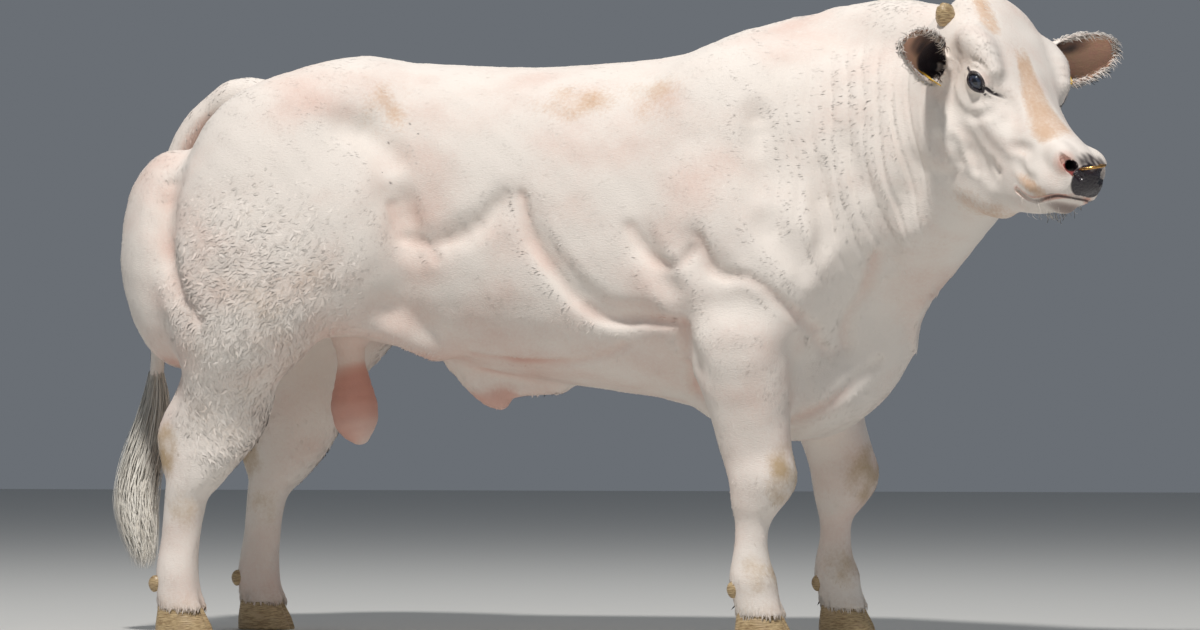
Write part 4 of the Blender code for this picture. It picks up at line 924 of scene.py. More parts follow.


# Lines where the skin dips between the muscles: depth, half width, places on the left side. The dips are
# also painted pinker, as shade in the creases.
DIPS = [
    (0.009, 0.013, [(-0.10, 0.327, 1.03), (-0.076, 0.323, 0.934), (-0.017, 0.321, 0.846),
                    (0.051, 0.307, 0.772),
                    (0.094, 0.297, 0.747), (0.178, 0.302, 0.746), (0.26, 0.329, 0.737)]),
    (0.006, 0.012, [(0.161, 0.336, 0.956), (0.219, 0.34, 0.879), (0.286, 0.377, 0.865),
                    (0.327, 0.369, 0.908)]),
    (0.008, 0.013, [(0.333, 0.376, 0.926), (0.369, 0.361, 0.847), (0.447, 0.369, 0.834),
                    (0.528, 0.34, 0.766),
                    (0.578, 0.224, 0.715)]),
    (0.005, 0.012, [(-0.427, 0.288, 1.016), (-0.404, 0.275, 0.942), (-0.334, 0.285, 0.921),
                    (-0.317, 0.293, 0.888)]),
    (0.004, 0.012, [(-0.334, 0.285, 0.921), (-0.238, 0.298, 0.95), (-0.14, 0.318, 1.035)]),
    (0.010, 0.014, [(0.287, 0.33, 0.733), (0.284, 0.291, 0.658), (0.279, 0.172, 0.573)]),
    (0.012, 0.016, [(0.715, 0.248, 0.884), (0.679, 0.194, 0.807), (0.639, 0.177, 0.746),
                    (0.626, 0.15, 0.685)]),
    (0.007, 0.012, [(0.57, 0.217, 0.702), (0.592, 0.168, 0.666), (0.633, 0.148, 0.692)]),
    (0.008, 0.013, [(0.503, 0.169, 0.51), (0.601, 0.156, 0.561), (0.69, 0.096, 0.649)]),
    (0.005, 0.012, [(-0.264, 0.169, 0.669), (-0.095, 0.205, 0.651), (0.062, 0.248, 0.658),
                    (0.133, 0.273, 0.685)]),
    (0.006, 0.014, [(-0.977, 0.289, 1.075), (-0.982, 0.313, 0.967), (-0.942, 0.349, 0.846),
                    (-0.865, 0.39, 0.75)]),
]


def dips(p):
    """How far the skin dips at places, in metres."""
    near = np.stack([p[:, 0], np.abs(p[:, 1]), p[:, 2]], 1)
    return most(*[depth * stroke(near, line, wide, 1.0) for depth, wide, line in DIPS])


def body_marks(p, normals):
    """How far each marking shows at places on the body, from 0 to 1."""
    under = fade(-normals[:, 2], 0.25, 0.9)
    low = 1 - fade(p[:, 2], 0.30, 0.62)
    pink = 0.22 + 0.16 * wobble(p, 0.30, 1) + 0.10 * wobble(p, 0.09, 2)
    pink += 0.20 * under * fade(p[:, 2], 0.45, 0.60) + 0.10 * low
    pink += 0.12 * most(spot(p, (-0.58, -0.29, 1.29), (0.16, 0.2, 0.07)),
                        spot(p, (-0.35, -0.29, 0.93), (0.10, 0.2, 0.12)),
                        spot(p, (0.10, -0.29, 1.20), (0.24, 0.2, 0.09)),
                        spot(p, (-0.2, -0.25, 0.72), (0.4, 0.3, 0.10)))
    # painted shade: the skin is made pinker along the dips between muscles, where shade falls in the creases
    pink += 30 * dips(p)
    scrotum = spot(p, (-0.615, 0, 0.56), (0.075, 0.075, 0.12), 0.4)
    sheath = spot(p, (-0.26, 0, 0.575), (0.09, 0.05, 0.05), 0.4)
    groin = spot(p, (-0.60, 0, 0.72), (0.20, 0.13, 0.10), 0.5)
    tan = most(*[spot(p, *row, 0.9) for row in HIP_TAN + BACK_TAN]) * (0.50 + 0.20 * wobble(p, 0.06, 5))
    tail_under = spot(p, (-1.00, 0, 1.19), (0.11, 0.05, 0.13),
                      0.5) * fade(-normals[:, 2] + 0.5 * normals[:, 0], -0.3, 0.5)
    dirt = np.zeros(len(p))
    for s in SIDES:
        dx = FORE[s][0]
        y = s * FORE[s][1]
        stains = most(spot(p, (0.50 + dx, y, 0.39), (0.045, 0.09, 0.07), 0.7),
                      spot(p, (0.455 + dx, y, 0.165), (0.06, 0.09, 0.05), 0.8) * 0.8,
                      spot(p, (-1.0 + HIND[s][0], s * HIND[s][1], 0.44), (0.05, 0.09, 0.07), 0.8),
                      spot(p, (-0.96 + HIND[s][0], s * HIND[s][1], 0.31), (0.05, 0.09, 0.06), 0.8) * 0.6)
        dirt = most(dirt, stains)
    dirt *= np.clip(0.70 + 0.25 * wobble(p, 0.05, 6), 0, 1)
    shag = curls_at(p)
    dirt = most(dirt, 0.28 * shag * (0.75 + 0.35 * wobble(p, 0.12, 7)))
    dirt = most(dirt, 0.35 * (1 - fade(p[:, 2], 0.06, 0.16)))
    dark = most(*[spot(p, q, 0.0036, 0.4) for q in SPECKS]) * 0.6
    mole = spot(p, (-0.60, -0.05, 0.66), 0.006, 0.4) * 0.8
    bare = most(scrotum, 0.6 * sheath, 0.5 * groin)
    pink = most(pink, scrotum, sheath * 0.8, groin * 0.6, tail_under * 0.7)
    return {"pink": pink, "tan": tan, "dirt": dirt, "dark": most(dark, mole), "bare": bare,
            "red": scrotum * 0.42}


def head_marks(p, local, normals):
    """The same on the head and ears, in its own axes."""
    x, y, z = local.T
    side = np.abs(y)
    near = np.stack([x, side, z], 1)
    top = fade(normals @ HEAD_AXES[2], 0.1, 0.7)
    along = np.clip(x, 0, 0.22)
    bridge = 1 - fade(np.abs(y + 0.020 + 0.07 * along) / (0.022 + 0.10 * along), 0.6, 1.4)
    bridge *= fade(x, -0.07, 0.02) * (1 - fade(x, 0.20, 0.26)) * top
    crown = stroke(local, [(-0.19, -0.05, 0.14), (-0.13, -0.068, 0.14), (-0.08, -0.074, 0.13)], 0.022, 0.8)
    jaw = spot(local, (0.10, 0, -0.215), (0.16, 0.07, 0.05), 0.6) * 0.8
    tan = most(0.78 * bridge, crown * 0.8, 0.7 * jaw,
               spot(near, (0.27, 0.08, -0.085), (0.07, 0.03, 0.02), 0.6) * 0.9)
    tan = tan * (0.84 + 0.12 * wobble(p, 0.05, 8))
    pad = spot(local, (0.348, 0.006, -0.008), (0.048, 0.055, 0.046), 0.10)
    mottle = fade(z, 0.004, 0.026) * (0.6 + 0.4 * wobble(p, 0.014, 9))
    saddle = spot(local, (0.320, 0.008, 0.024), (0.036, 0.048, 0.026),
                  0.5) * (0.80 + 0.20 * wobble(p, 0.016, 12))
    rim_pink = 0.8 * (1 - 0.6 * fade(y, 0.0, 0.02)) * spot(near, (0.303, 0.058, 0.008),
                                                           (0.032, 0.022, 0.027), 0.6)
    lips = stroke(near, MOUTH, 0.011, 0.6)
    # painted shade: a dark line along the crease where the lips meet, darker toward the front
    mouth_crease_shade = stroke(np.stack([x, 0 * x, z], 1), [(a, 0, c) for a, _, c in MOUTH], 0.0034, 0.7)
    # the lower lip is darker: partly its greyish skin, partly painted shade under the upper lip
    lower_lip = spot(near, (0.290, 0.0, -0.092), (0.062, 0.050, 0.020), 0.5) * (1 - lips)
    nostril = stroke(near, [(0.322, 0.040, -0.002), (0.306, 0.050, 0.001)], 0.0105, 0.3)
    # painted shadow: dark inside the hollow of the nostril
    nostril_shadow = stroke(near, [(0.316, 0.045, 0.009), (0.300, 0.040, 0.006), (0.264, 0.027, -0.004)], 0.0125, 0.25)
    ex, ey, ez, er = EYE
    ball = np.array([ex, ey, ez])
    flat = np.stack([x, 0 * x, z], 1)
    rel = near - ball
    gap = Almond(*LID_GAP).distance(*(rel @ (eye_frame(1)[1] @ HEAD_AXES.T).T).T)
    about = np.linalg.norm(rel, axis=1) < er + 0.018
    rim = (1 - fade(gap, 0.0050, 0.0095)) * about
    tear_line = [(0.018, 0, 0.024)] + [(a, 0, b) for a, b in TEAR]
    tear = stroke(flat, tear_line, 0.0034, 0.5) * (side > 0.07) * (1 - 0.7 * fade(x, 0.045, 0.070))
    grey = spot(near, (0.076, 0.100, 0.040), (0.030, 0.03, 0.017), 0.7) * 0.30
    brow = spot(near, (0.0, 0.115, 0.064), (0.06, 0.03, 0.016), 0.8) * 0.25
    pink = 0.20 + 0.10 * wobble(p, 0.05, 10)
    pink = most(pink, rim_pink, 0.8 * lips, 0.6 * lower_lip,
                0.5 * spot(near, (0.02, 0.12, 0.045), (0.03, 0.02, 0.02), 0.8), brow)
    dark = most(pad * (1 - 0.75 * mottle), 0.78 * saddle, rim * 0.97, 0.85 * tear,
                0.62 * mouth_crease_shade * (0.5 + 0.5 * fade(x, 0.24, 0.31)), 0.50 * lower_lip, grey, nostril_shadow)
    bare = most(pad, rim, nostril, 0.7 * lips, 0.5 * rim_pink)
    red = nostril * fade(-y, 0.0, 0.03)
    tone = {"pink": pink, "tan": tan, "dirt": 0.10 + 0 * x, "dark": dark, "bare": bare, "red": red}
    for s in SIDES:
        at, axes = ear_frame(s)
        u, v, w = ((p - at) @ axes.T).T
        t = u / EAR_LONG
        r = curve(np.clip(t, 0, 1), [e[0] for e in EAR], [e[1] for e in EAR])
        bowl = np.hypot(v, w - 0.012 * t * t - r)
        on_ear = fade(t, 0.02, 0.14) * fade(side, 0.130,
                                            0.148) * (np.sign(y) == s) * (1 - fade(bowl - r, 0.004, 0.010))
        # painted shadow: dark in the ear's opening at its root, and round the stub where the ear meets the
        # head
        ear_canal_shadow = (1 - fade(bowl - r, -0.006, 0.0)) * fade(t, -0.10, -0.02) * (1 - fade(t, 0.25, 0.5))
        ear_canal_shadow = most(ear_canal_shadow, spot(local, EAR_SET[s][0], (0.046, 0.046, 0.046), 0.2)
                     * (1 - fade(bowl - r, -0.002, 0.006)))
        ear_canal_shadow *= fade(side, 0.120, 0.130) * (np.sign(y) == s)
        stub = np.array(EAR_SET[s][0]) * (1, 0.90, 1) - (0.006, 0, 0)
        ear_canal_shadow = most(ear_canal_shadow, spot(local, stub, (0.026, 0.026, 0.026), 0.15) * fade(side, 0.112, 0.120))
        outward = np.stack([np.zeros_like(v), v, w - 0.012 * t * t - r], 1) @ axes
        inside = fade(-(normals * outward).sum(1) / np.maximum(np.linalg.norm(outward, axis=1), 1e-6), 0.0,
                      0.6) * on_ear
        # painted shade: the upper inner wall, which faces down, and the hollow toward the ear's root are
        # darker
        shaded_upper_wall = fade(v * s, -0.016, 0.018) * (1 - fade(t, 0.50, 0.90))
        ear_hollow_shade = inside * most(shaded_upper_wall, 1 - fade(t, 0.12, 0.55))
        edge = fade(np.abs(v), 0.84 * r, 1.04 * r) * fade(t, 0.2, 0.4)
        blotch = 0.9 + 0.12 * wobble(p, 0.03, 13)
        tone["pink"] = most(tone["pink"] * (1 - on_ear), 0.30 * on_ear, 0.95 * inside * (1 - 0.6 * edge))
        tone["dark"] = most(tone["dark"] * (1 - on_ear), 0.72 * ear_hollow_shade * blotch * (1 - 0.7 * edge),
                            0.06 * on_ear, 0.85 * ear_canal_shadow)
        tone["dirt"] = most(tone["dirt"] * (1 - on_ear), 0.22 * inside, 0.25 * on_ear * edge)
        tone["bare"] = most(tone["bare"] * (1 - on_ear), 0.75 * inside * (1 - edge))
        tone["tan"] = most(tone["tan"] * (1 - on_ear), 0.62 * inside * fade(t, 0.1, 0.4) * blotch)
    return tone


def head_share(p):
    """1 on the head, 0 behind the seam of the neck."""
    ahead = (p - CUT_AT) @ CUT_WAY
    close = np.linalg.norm(p - HEAD_AT, axis=1) < 0.62
    return fade(ahead, -0.03, 0.03) * close * fade(p[:, 2], 0.80, 0.90)


def marks_at(p, normals):
    share = head_share(p)
    body = body_marks(p, normals)
    head = head_marks(p, to_head(p), normals)
    return {k: np.clip(body[k] * (1 - share) + head[k] * share, 0, 1) for k in MARKS}


def curls_at(p):
    """Where the coat is long and curly: the lower thigh and gaskin, as seen from both sides."""
    near = np.stack([p[:, 0], np.abs(p[:, 1]), p[:, 2]], 1)
    thigh = spot(near, (-0.74, 0.36, 0.80), (0.22, 0.16, 0.24), 0.45)
    gaskin = spot(near, (-0.83, 0.27, 0.55), (0.13, 0.14, 0.16), 0.45)
    return most(thigh, gaskin) * fade(near[:, 1], 0.10, 0.20)


def relief(p, normals, bare):
    """How far each place of the skin moves out: in by the coat's depth, and the small folds of the hide."""
    share = head_share(p)
    depth = (0.0030 - 0.0018 * share) * (1 - bare)
    ripple = 0.0009 * wobble(p, 0.055, 21) + 0.0012 * wobble(p, 0.16, 22)
    forward = unit((0.80, -0.30, 0.16))
    along = (p - (0.42, 0.01, 1.045)) @ forward
    folds = np.sin(along * 2 * math.pi / 0.038 + 1.6 * wobble(p, 0.20, 23))
    zone = spot(p, (0.66, -0.28, 1.10), (0.16, 0.20, 0.24), 0.5) * (p[:, 1] < -0.05)
    hide = ripple * (1 - share * 0.75) - dips(p) * (1 - share) - 0.0050 * zone * np.clip(folds, 0, 1) ** 2
    local = to_head(p)
    pebbles = bare * share * fade(local[:, 0], 0.29, 0.32) * 0.0006 * wobble(p, 0.006, 24)
    return hide - depth + pebbles


def finish_mesh(name, points, faces, material=None, smooth_faces=True):
    """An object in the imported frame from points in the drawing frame."""
    data = bpy.data.meshes.new(name)
    data.from_pydata((np.asarray(points) + SHIFT).tolist(), [], np.asarray(faces).tolist()
                     if not isinstance(faces, list) else faces)
    obj = bpy.data.objects.new(name, data)
    bpy.context.scene.collection.objects.link(obj)
    if smooth_faces:
        data.shade_smooth()
    if material:
        data.materials.append(material)
    return obj


def put_marks(data, marks):
    for name, values in marks.items():
        data.attributes.new(name, "FLOAT", "POINT").data.foreach_set("value", values.astype(np.float32))


class Wire:
    """A socket that shader maths can be written with."""

    def __init__(self, board, socket):
        self.board, self.socket = board, socket

    def maths(self, operation, *others):
        return self.board.node("ShaderNodeMath", {"operation": operation}, dict(enumerate((self, *others))))

    def __add__(self, other):
        return self.maths("ADD", other)

    def __sub__(self, other):
        return self.maths("SUBTRACT", other)

    def __mul__(self, other):
        return self.maths("MULTIPLY", other)

    def __truediv__(self, other):
        return self.maths("DIVIDE", other)

    def __pow__(self, other):
        return self.maths("POWER", other)

    def __rsub__(self, other):
        return self.board.node("ShaderNodeMath", {"operation": "SUBTRACT"}, {0: other, 1: self})

    __radd__ = __add__
    __rmul__ = __mul__

    def least(self, other):
        return self.maths("MINIMUM", other)

    def most(self, other):
        return self.maths("MAXIMUM", other)

    def step(self, start, end):
        """0 below start, 1 above end, eased between."""
        return self.board.node("ShaderNodeMapRange", {"interpolation_type": "SMOOTHSTEP"},
                               {"Value": self, "From Min": start, "From Max": end})


class Board:
    """The nodes of one material around its shader."""

    def __init__(self, name):
        self.material = bpy.data.materials.new(name)
        self.material.use_nodes = True
        self.nodes = self.material.node_tree.nodes
        self.links = self.material.node_tree.links
        self.shader = self.nodes["Principled BSDF"]

    def node(self, kind, settings=None, inputs=None, out=0):
        made = self.nodes.new(kind)
        for key, value in (settings or {}).items():
            if key == "stops":
                ramp = made.color_ramp
                while len(ramp.elements) < len(value):
                    ramp.elements.new(0.5)
                for element, (place, colour) in zip(ramp.elements, value):
                    element.position, element.color = place, (*colour, 1)
            else:
                setattr(made, key, value)
        for key, value in (inputs or {}).items():
            self.join(made.inputs[key], value)
        return Wire(self, made.outputs[out])

    def join(self, socket, value):
        if isinstance(value, Wire):
            self.links.new(value.socket, socket)
        elif isinstance(value, tuple) and len(value) == 3 and socket.type == "RGBA":
            socket.default_value = (*value, 1)
        else:
            socket.default_value = value

    def mix(self, share, first, second):
        """Second over first, as far as share says, as colours."""
        made = self.nodes.new("ShaderNodeMix")
        made.data_type = "RGBA"
        self.join(made.inputs[0], share)
        self.join(made.inputs[6], first)
        self.join(made.inputs[7], second)
        return Wire(self, made.outputs[2])

    def attribute(self, name):
        return self.node("ShaderNodeAttribute", {"attribute_name": name}, out=2)

    def place(self):
        return self.node("ShaderNodeTexCoord", out=3)

    def noise(self, size, detail=3.0, rough=0.55, stretch=(1, 1, 1), place=None):
        """Noise about 0.5 whose lumps have this size, in metres."""
        at = self.node("ShaderNodeMapping", {}, {"Vector": place or self.place(),
                                                 "Scale": tuple(1 / size / k for k in stretch)})
        return self.node("ShaderNodeTexNoise", {},
                         {"Vector": at, "Scale": 1.0, "Detail": detail, "Roughness": rough})

    def bump(self, height, distance, strength=1.0, under=None):
        inputs = {"Height": height, "Distance": distance, "Strength": strength}
        if under:
            inputs["Normal"] = under
        return self.node("ShaderNodeBump", {}, inputs)

    def finish(self, **values):
        for key, value in values.items():
            self.join(self.shader.inputs[key.replace("_", " ")], value)
        return self.material


def linear(colour):
    """A shade as a screen shows it, 0 to 255, turned into the shader's own scale."""
    c = np.array(colour) / 255
    return tuple(float(v) for v in np.where(c < 0.04045, c / 12.92, ((c + 0.055) / 1.055) ** 2.4))


def hide_colour(b, look):
    """The coat's white over pink skin, with its tan, soiled and dark places, and the shade painted through
    the pink and dark marks.
    """
    marks = {name: b.attribute(name) for name in MARKS}
    broad, fine = b.noise(0.10, 4), b.noise(0.008, 2)
    pink = (marks["pink"] + (broad - 0.5) * 0.5 + (fine - 0.5) * 0.25).step(0.05, 1.0)
    colour = b.mix(pink, look["white"], look["pink"])
    flesh = marks["pink"].step(0.62, 0.95)
    colour = b.mix(flesh * 0.8, colour, look["flesh"])
    colour = b.mix((marks["tan"] + (fine - 0.5) * 0.5).step(0.15, 0.85) * 0.85, colour, look["tan"])
    soil = (marks["dirt"] + (broad - 0.5) * 0.4 + (fine - 0.5) * 0.4).step(0.12, 0.95)
    colour = b.mix(soil, colour, look["soil"])
    colour = b.mix(marks["red"].step(0.3, 0.9), colour, look["raw"])
    return b.mix(marks["dark"].step(0.12, 0.8), colour, look["dark"]), marks, fine


class Looks:
    """One material for each finish, made once."""

    def __init__(self, colours):
        self.colours = {name: tuple(getattr(colours, name)) for name in colours.bl_rna.properties.keys()
                        if name not in ("rna_type", "name")}
        self.made = {}

    def get(self, name):
        if name not in self.made:
            self.made[name] = getattr(self, name)(Board(name))
        return self.made[name]

    def hide(self, b):
        colour, marks, fine = hide_colour(b, self.colours)
        hair = b.noise(0.0022, 2, 0.6, (3.2, 1, 1))
        pores = b.noise(0.0016, 2)
        bare = marks["bare"]
        wet = marks["dark"].step(0.5, 0.9) * bare
        rough = 0.72 - bare * 0.18 - wet * 0.30 + (fine - 0.5) * 0.12
        fur = b.bump(hair, 0.0014, 0.75)
        skin = b.bump(pores * bare, 0.0008, 0.6, fur)
        return b.finish(Base_Color=colour, Roughness=rough, Coat_Weight=wet * 0.4, Coat_Roughness=0.16,
                        Normal=skin)

    def coat(self, b):
        colour, _, fine = hide_colour(b, self.colours)
        tone = b.attribute("tone")
        light = b.mix(tone.step(0.0, 1.0) * 0.12, colour, self.colours["glow"])
        shade = b.mix((1 - tone).step(0.4, 1.0) * 0.05, light, self.colours["soil"])
        return b.finish(Base_Color=shade, Roughness=0.62 + (fine - 0.5) * 0.2, Specular_IOR_Level=0.3)

    def eyeball(self, b):
        """Blue-grey iris with a dark level pupil, white only at the corners."""
        place = b.place()
        x, y, z = (b.node("ShaderNodeSeparateXYZ", {}, {"Vector": place}, out=k) for k in range(3))
        along, up = x / EYE[3], z / EYE[3]
        out = (along * along + up * up) ** 0.5
        pupil = ((along * along) / 0.140 + (up * up) / 0.045).step(0.8, 1.25)
        rays = b.noise(0.0016, 3, 0.6)
        iris = b.mix(rays.step(0.3, 0.7), self.colours["iris"], self.colours["iris_rim"])
        iris = b.mix(out.step(0.50, 0.80), iris, self.colours["iris_rim"])
        white = b.mix(b.noise(0.003, 3).step(0.45, 0.75) * 0.4, self.colours["eye_white"],
                      self.colours["raw"])
        colour = b.mix(out.step(0.86, 0.94) * 0.7, iris, white)
        colour = b.mix(1 - pupil, colour, (0.002, 0.003, 0.008))
        return b.finish(Base_Color=colour, Roughness=0.12, Coat_Weight=1.0, Coat_Roughness=0.02)

    def horn(self, b):
        grain = b.noise(0.004, 4, 0.6, (4, 4, 0.5))
        dirt = b.noise(0.025, 3)
        colour = b.mix(grain.step(0.35, 0.7), self.colours["horn"], self.colours["horn_dark"])
        colour = b.mix(dirt.step(0.5, 0.75) * 0.6, colour, self.colours["soil"])
        rings = b.node("ShaderNodeTexWave", {"wave_type": "BANDS", "bands_direction": "Z"},
                       {"Vector": b.place(), "Scale": 60.0, "Distortion": 2.0, "Detail": 2.0}, out=1)
        return b.finish(Base_Color=colour, Roughness=0.42 + (dirt - 0.5) * 0.3,
                        Normal=b.bump(rings, 0.0006, 0.5))

    def brass(self, b):
        worn = b.noise(0.006, 4)
        scratch = b.noise(0.0015, 2, 0.5, (6, 1, 1))
        colour = b.mix(worn.step(0.4, 0.7), self.colours["brass"], self.colours["brass_worn"])
        rough = 0.24 + (worn - 0.5) * 0.25 + (scratch - 0.5) * 0.15
        return b.finish(Base_Color=colour, Metallic=1.0, Roughness=rough,
                        Normal=b.bump(scratch, 0.0001, 0.4))

    def tag_plastic(self, b):
        dust = b.noise(0.012, 4)
        grain = b.noise(0.0008, 2)
        colour = b.mix(dust.step(0.5, 0.8) * 0.5, self.colours["tag"], self.colours["soil"])
        return b.finish(Base_Color=colour, Roughness=0.42 + (dust - 0.5) * 0.3,
                        Normal=b.bump(grain, 0.0001, 0.3))

    def switch_hair(self, b):
        tone = b.attribute("tone")
        broad, fine = b.noise(0.05, 3), b.noise(0.0025, 2, 0.5, (1, 1, 8))
        colour = b.mix(tone.step(0.0, 1.0), self.colours["switch"], self.colours["switch_dark"])
        colour = b.mix(broad.step(0.5, 0.8) * 0.12, colour, self.colours["soil"])
        return b.finish(Base_Color=colour, Roughness=0.60 + (fine - 0.5) * 0.2,
                        Normal=b.bump(fine, 0.0005, 0.6))


def lie_at(p, normals, share):
    """The way the coat lies, as unit vectors along the skin."""
    rear = fade(-p[:, 0], 0.82, 1.0)
    leg_part = 1 - fade(p[:, 2], 0.55, 0.80)
    chest = fade(p[:, 0], 0.50, 0.75) * (1 - fade(p[:, 2], 0.9, 1.1))
    down = most(rear, leg_part, chest)
    way = np.stack([-1.0 + 0.95 * down, -0.25 * normals[:, 1], -0.30 - 0.9 * down], 1)
    local = to_head(p)
    whorl = local - (-0.03, 0, 0.08)
    face_way = np.stack([np.where(whorl[:, 0] > 0, 1.0, -1.0) * fade(np.abs(whorl[:, 0]), 0, 0.05) + 0.01,
                         whorl[:, 1] * 4, -0.5 - 0.0 * whorl[:, 2]], 1)
    cheek = fade(-local[:, 2], -0.02, 0.06) * (1 - fade(local[:, 0], 0.12, 0.2))
    face_way = face_way * (1 - cheek[:, None]) + np.stack([-0.8 + 0 * cheek, 0 * cheek, -0.6 + 0 * cheek],
                                                          1) * cheek[:, None]
    for s in SIDES:
        at, axes = ear_frame(s)
        t = ((p - at) @ axes.T)[:, 0] / EAR_LONG
        on_ear = (t > 0.10) & (np.sign(local[:, 1]) == s) & (np.abs(local[:, 1]) > 0.145)
        out = axes[0] @ HEAD_AXES.T
        face_way[on_ear] = out + 0.25 * np.array([0, 0, -1])
    way = way * (1 - share[:, None]) + (face_way @ HEAD_AXES) * share[:, None]
    swirl = np.stack([wobble(p, 0.22, 31 + k) for k in range(3)], 1) * 0.35
    way = unit(way + 1e-6) + swirl
    way -= normals * (way * normals).sum(1)[:, None]
    return unit(way + 1e-9)


def chart(p, normals):
    """Where a place lies on an unwrap of the skin: a chart for each way it faces and each part it is on."""
    share = head_share(p) > 0.5
    q = np.where(share[:, None], to_head(p), p)
    n = np.where(share[:, None], normals @ HEAD_AXES.T, normals)
    axis = np.abs(n).argmax(1)
    positive = n[np.arange(len(n)), axis] > 0
    part = np.where(axis == 1, q[:, 1] > 0, np.where(axis == 0, np.digitize(q[:, 0], (-0.4, 0.3)),
                                                     0)).astype(int)
    first = np.select([axis == 1, axis == 0, axis == 2], [0, 4, 10])
    cell = first + part * 2 + positive
    cell = np.where(share, 12 + axis * 2 + positive, cell)
    flat = np.stack([np.where(axis == 0, q[:, 1], q[:, 0]), np.where(axis == 2, q[:, 1], q[:, 2])], 1)
    low = np.where(share[:, None], -0.36, np.stack([np.where(axis == 0, -0.6, -1.25),
                                                    np.where(axis == 2, -0.6, 0.0)], 1))
    wide = np.where(share[:, None], 0.76, 2.6)
    unit_place = np.clip((flat - low) / wide, 0.01, 0.99)
    return (np.stack([cell % 5, cell // 5], 1) + unit_place) / (5, 4)


def locks(name, looks, root, normal, lie, length, width, lift, rings, curl=0.0, turns=1.0, thick=0.45,
          droop=0.0,
          seed=1, marks=None, taper=1.0, jitter=0.10):
    """Flat, tapered tufts of three-sided rings over the skin, each with its root sunk in."""
    rng = np.random.default_rng(seed)
    count = len(root)
    length, width, lift, curl = (np.broadcast_to(np.asarray(v, float), count)[:, None]
                                 for v in (length, width, lift, curl))
    side = unit(np.cross(normal, lie))
    phase = rng.uniform(0, 2 * math.pi, (count, 1))
    layers = []
    for i in range(rings + 1):
        t = i / rings
        sway = curl * length * (np.sin(phase + 2 * math.pi * turns * t) - np.sin(phase))
        roll = curl * length * (np.cos(phase + 2 * math.pi * turns * t) - np.cos(phase)) * 0.3
        rise = lift * length * math.sin(math.pi * min(1.0, 0.15 + 0.85 * t)) + np.maximum(roll, -0.002)
        middle = root + lie * length * t + side * sway + normal * (rise - 0.0012 * (1 - t))
        middle = middle + np.array([0, 0, -1.0]) * droop * length * t * t
        if i == rings:
            layers.append(middle[:, None, :])
            break
        half = width * (1 - t ** (1.2 + taper)) * (0.75 + 0.5 * math.sin(math.pi * t)) * 0.5
        layers.append(np.stack([middle - side * half, middle + normal * half * 2 * thick,
                                middle + side * half], 1))
    points = np.concatenate(layers, 1)
    turned_up = unit(normal + rng.normal(0, jitter, (count, 3)))
    values = dict(marks or {})
    values["tone"] = rng.random(count)
    return strands(name, looks, points, chart(root, normal), turned_up, values)


# How wide each tuft's patch is on the OFBake map.
PATCH = 0.003


def strands(name, looks, points, patch, facing, marks):
    """One mesh of pointed strands of three-sided rings, each with its own small patch of the OFBake map."""
    count, size = points.shape[:2]
    rings = (size - 1) // 3
    shape = [(0, 1, 2)]
    for i in range(rings - 1):
        for k in range(3):
            a, b, c, d = i * 3 + k, i * 3 + (k + 1) % 3, i * 3 + 3 + (k + 1) % 3, i * 3 + 3 + k
            shape += [(a, c, b), (a, d, c)]
    last = (rings - 1) * 3
    shape += [(last + (k + 1) % 3, last + k, rings * 3) for k in range(3)]
    faces = (np.array(shape)[None] + (np.arange(count) * size)[:, None, None]).reshape(-1, 3)
    spots = np.array([(k / 2 - 0.5, i / rings - 0.5) for i in range(rings) for k in range(3)] + [(0, 0.5)])
    uv = (patch[:, None, :] + PATCH * spots).reshape(-1, 2)
    obj = tri_mesh(name, points.reshape(-1, 3), faces, looks)
    obj.data.normals_split_custom_set_from_vertices(np.repeat(facing, size, 0).tolist())
    layer = obj.data.uv_layers.new(name="OFBake")
    layer.data.foreach_set("uv", uv[faces.reshape(-1)].astype(np.float32).ravel())
    put_marks(obj.data, {k: np.repeat(v, size) for k, v in marks.items()})
    return obj


def tri_mesh(name, points, faces, material):
    """A mesh of triangles, made quickly."""
    data = bpy.data.meshes.new(name)
    data.vertices.add(len(points))
    data.vertices.foreach_set("co", (points + SHIFT).astype(np.float32).ravel())
    data.loops.add(faces.size)
    data.loops.foreach_set("vertex_index", faces.astype(np.int32).ravel())
    data.polygons.add(len(faces))
    data.polygons.foreach_set("loop_start", (np.arange(len(faces)) * 3).astype(np.int32))
    data.update(calc_edges=True)
    data.shade_smooth()
    data.materials.append(material)
    obj = bpy.data.objects.new(name, data)
    bpy.context.scene.collection.objects.link(obj)
    return obj


def read_vertices(data):
    """Positions and normals of a mesh's vertices."""
    count = len(data.vertices)
    places, normals = np.zeros(count * 3, np.float32), np.zeros(count * 3, np.float32)
    data.vertices.foreach_get("co", places)
    data.vertices.foreach_get("normal", normals)
    return places.reshape(-1, 3).astype(float), normals.reshape(-1, 3).astype(float)


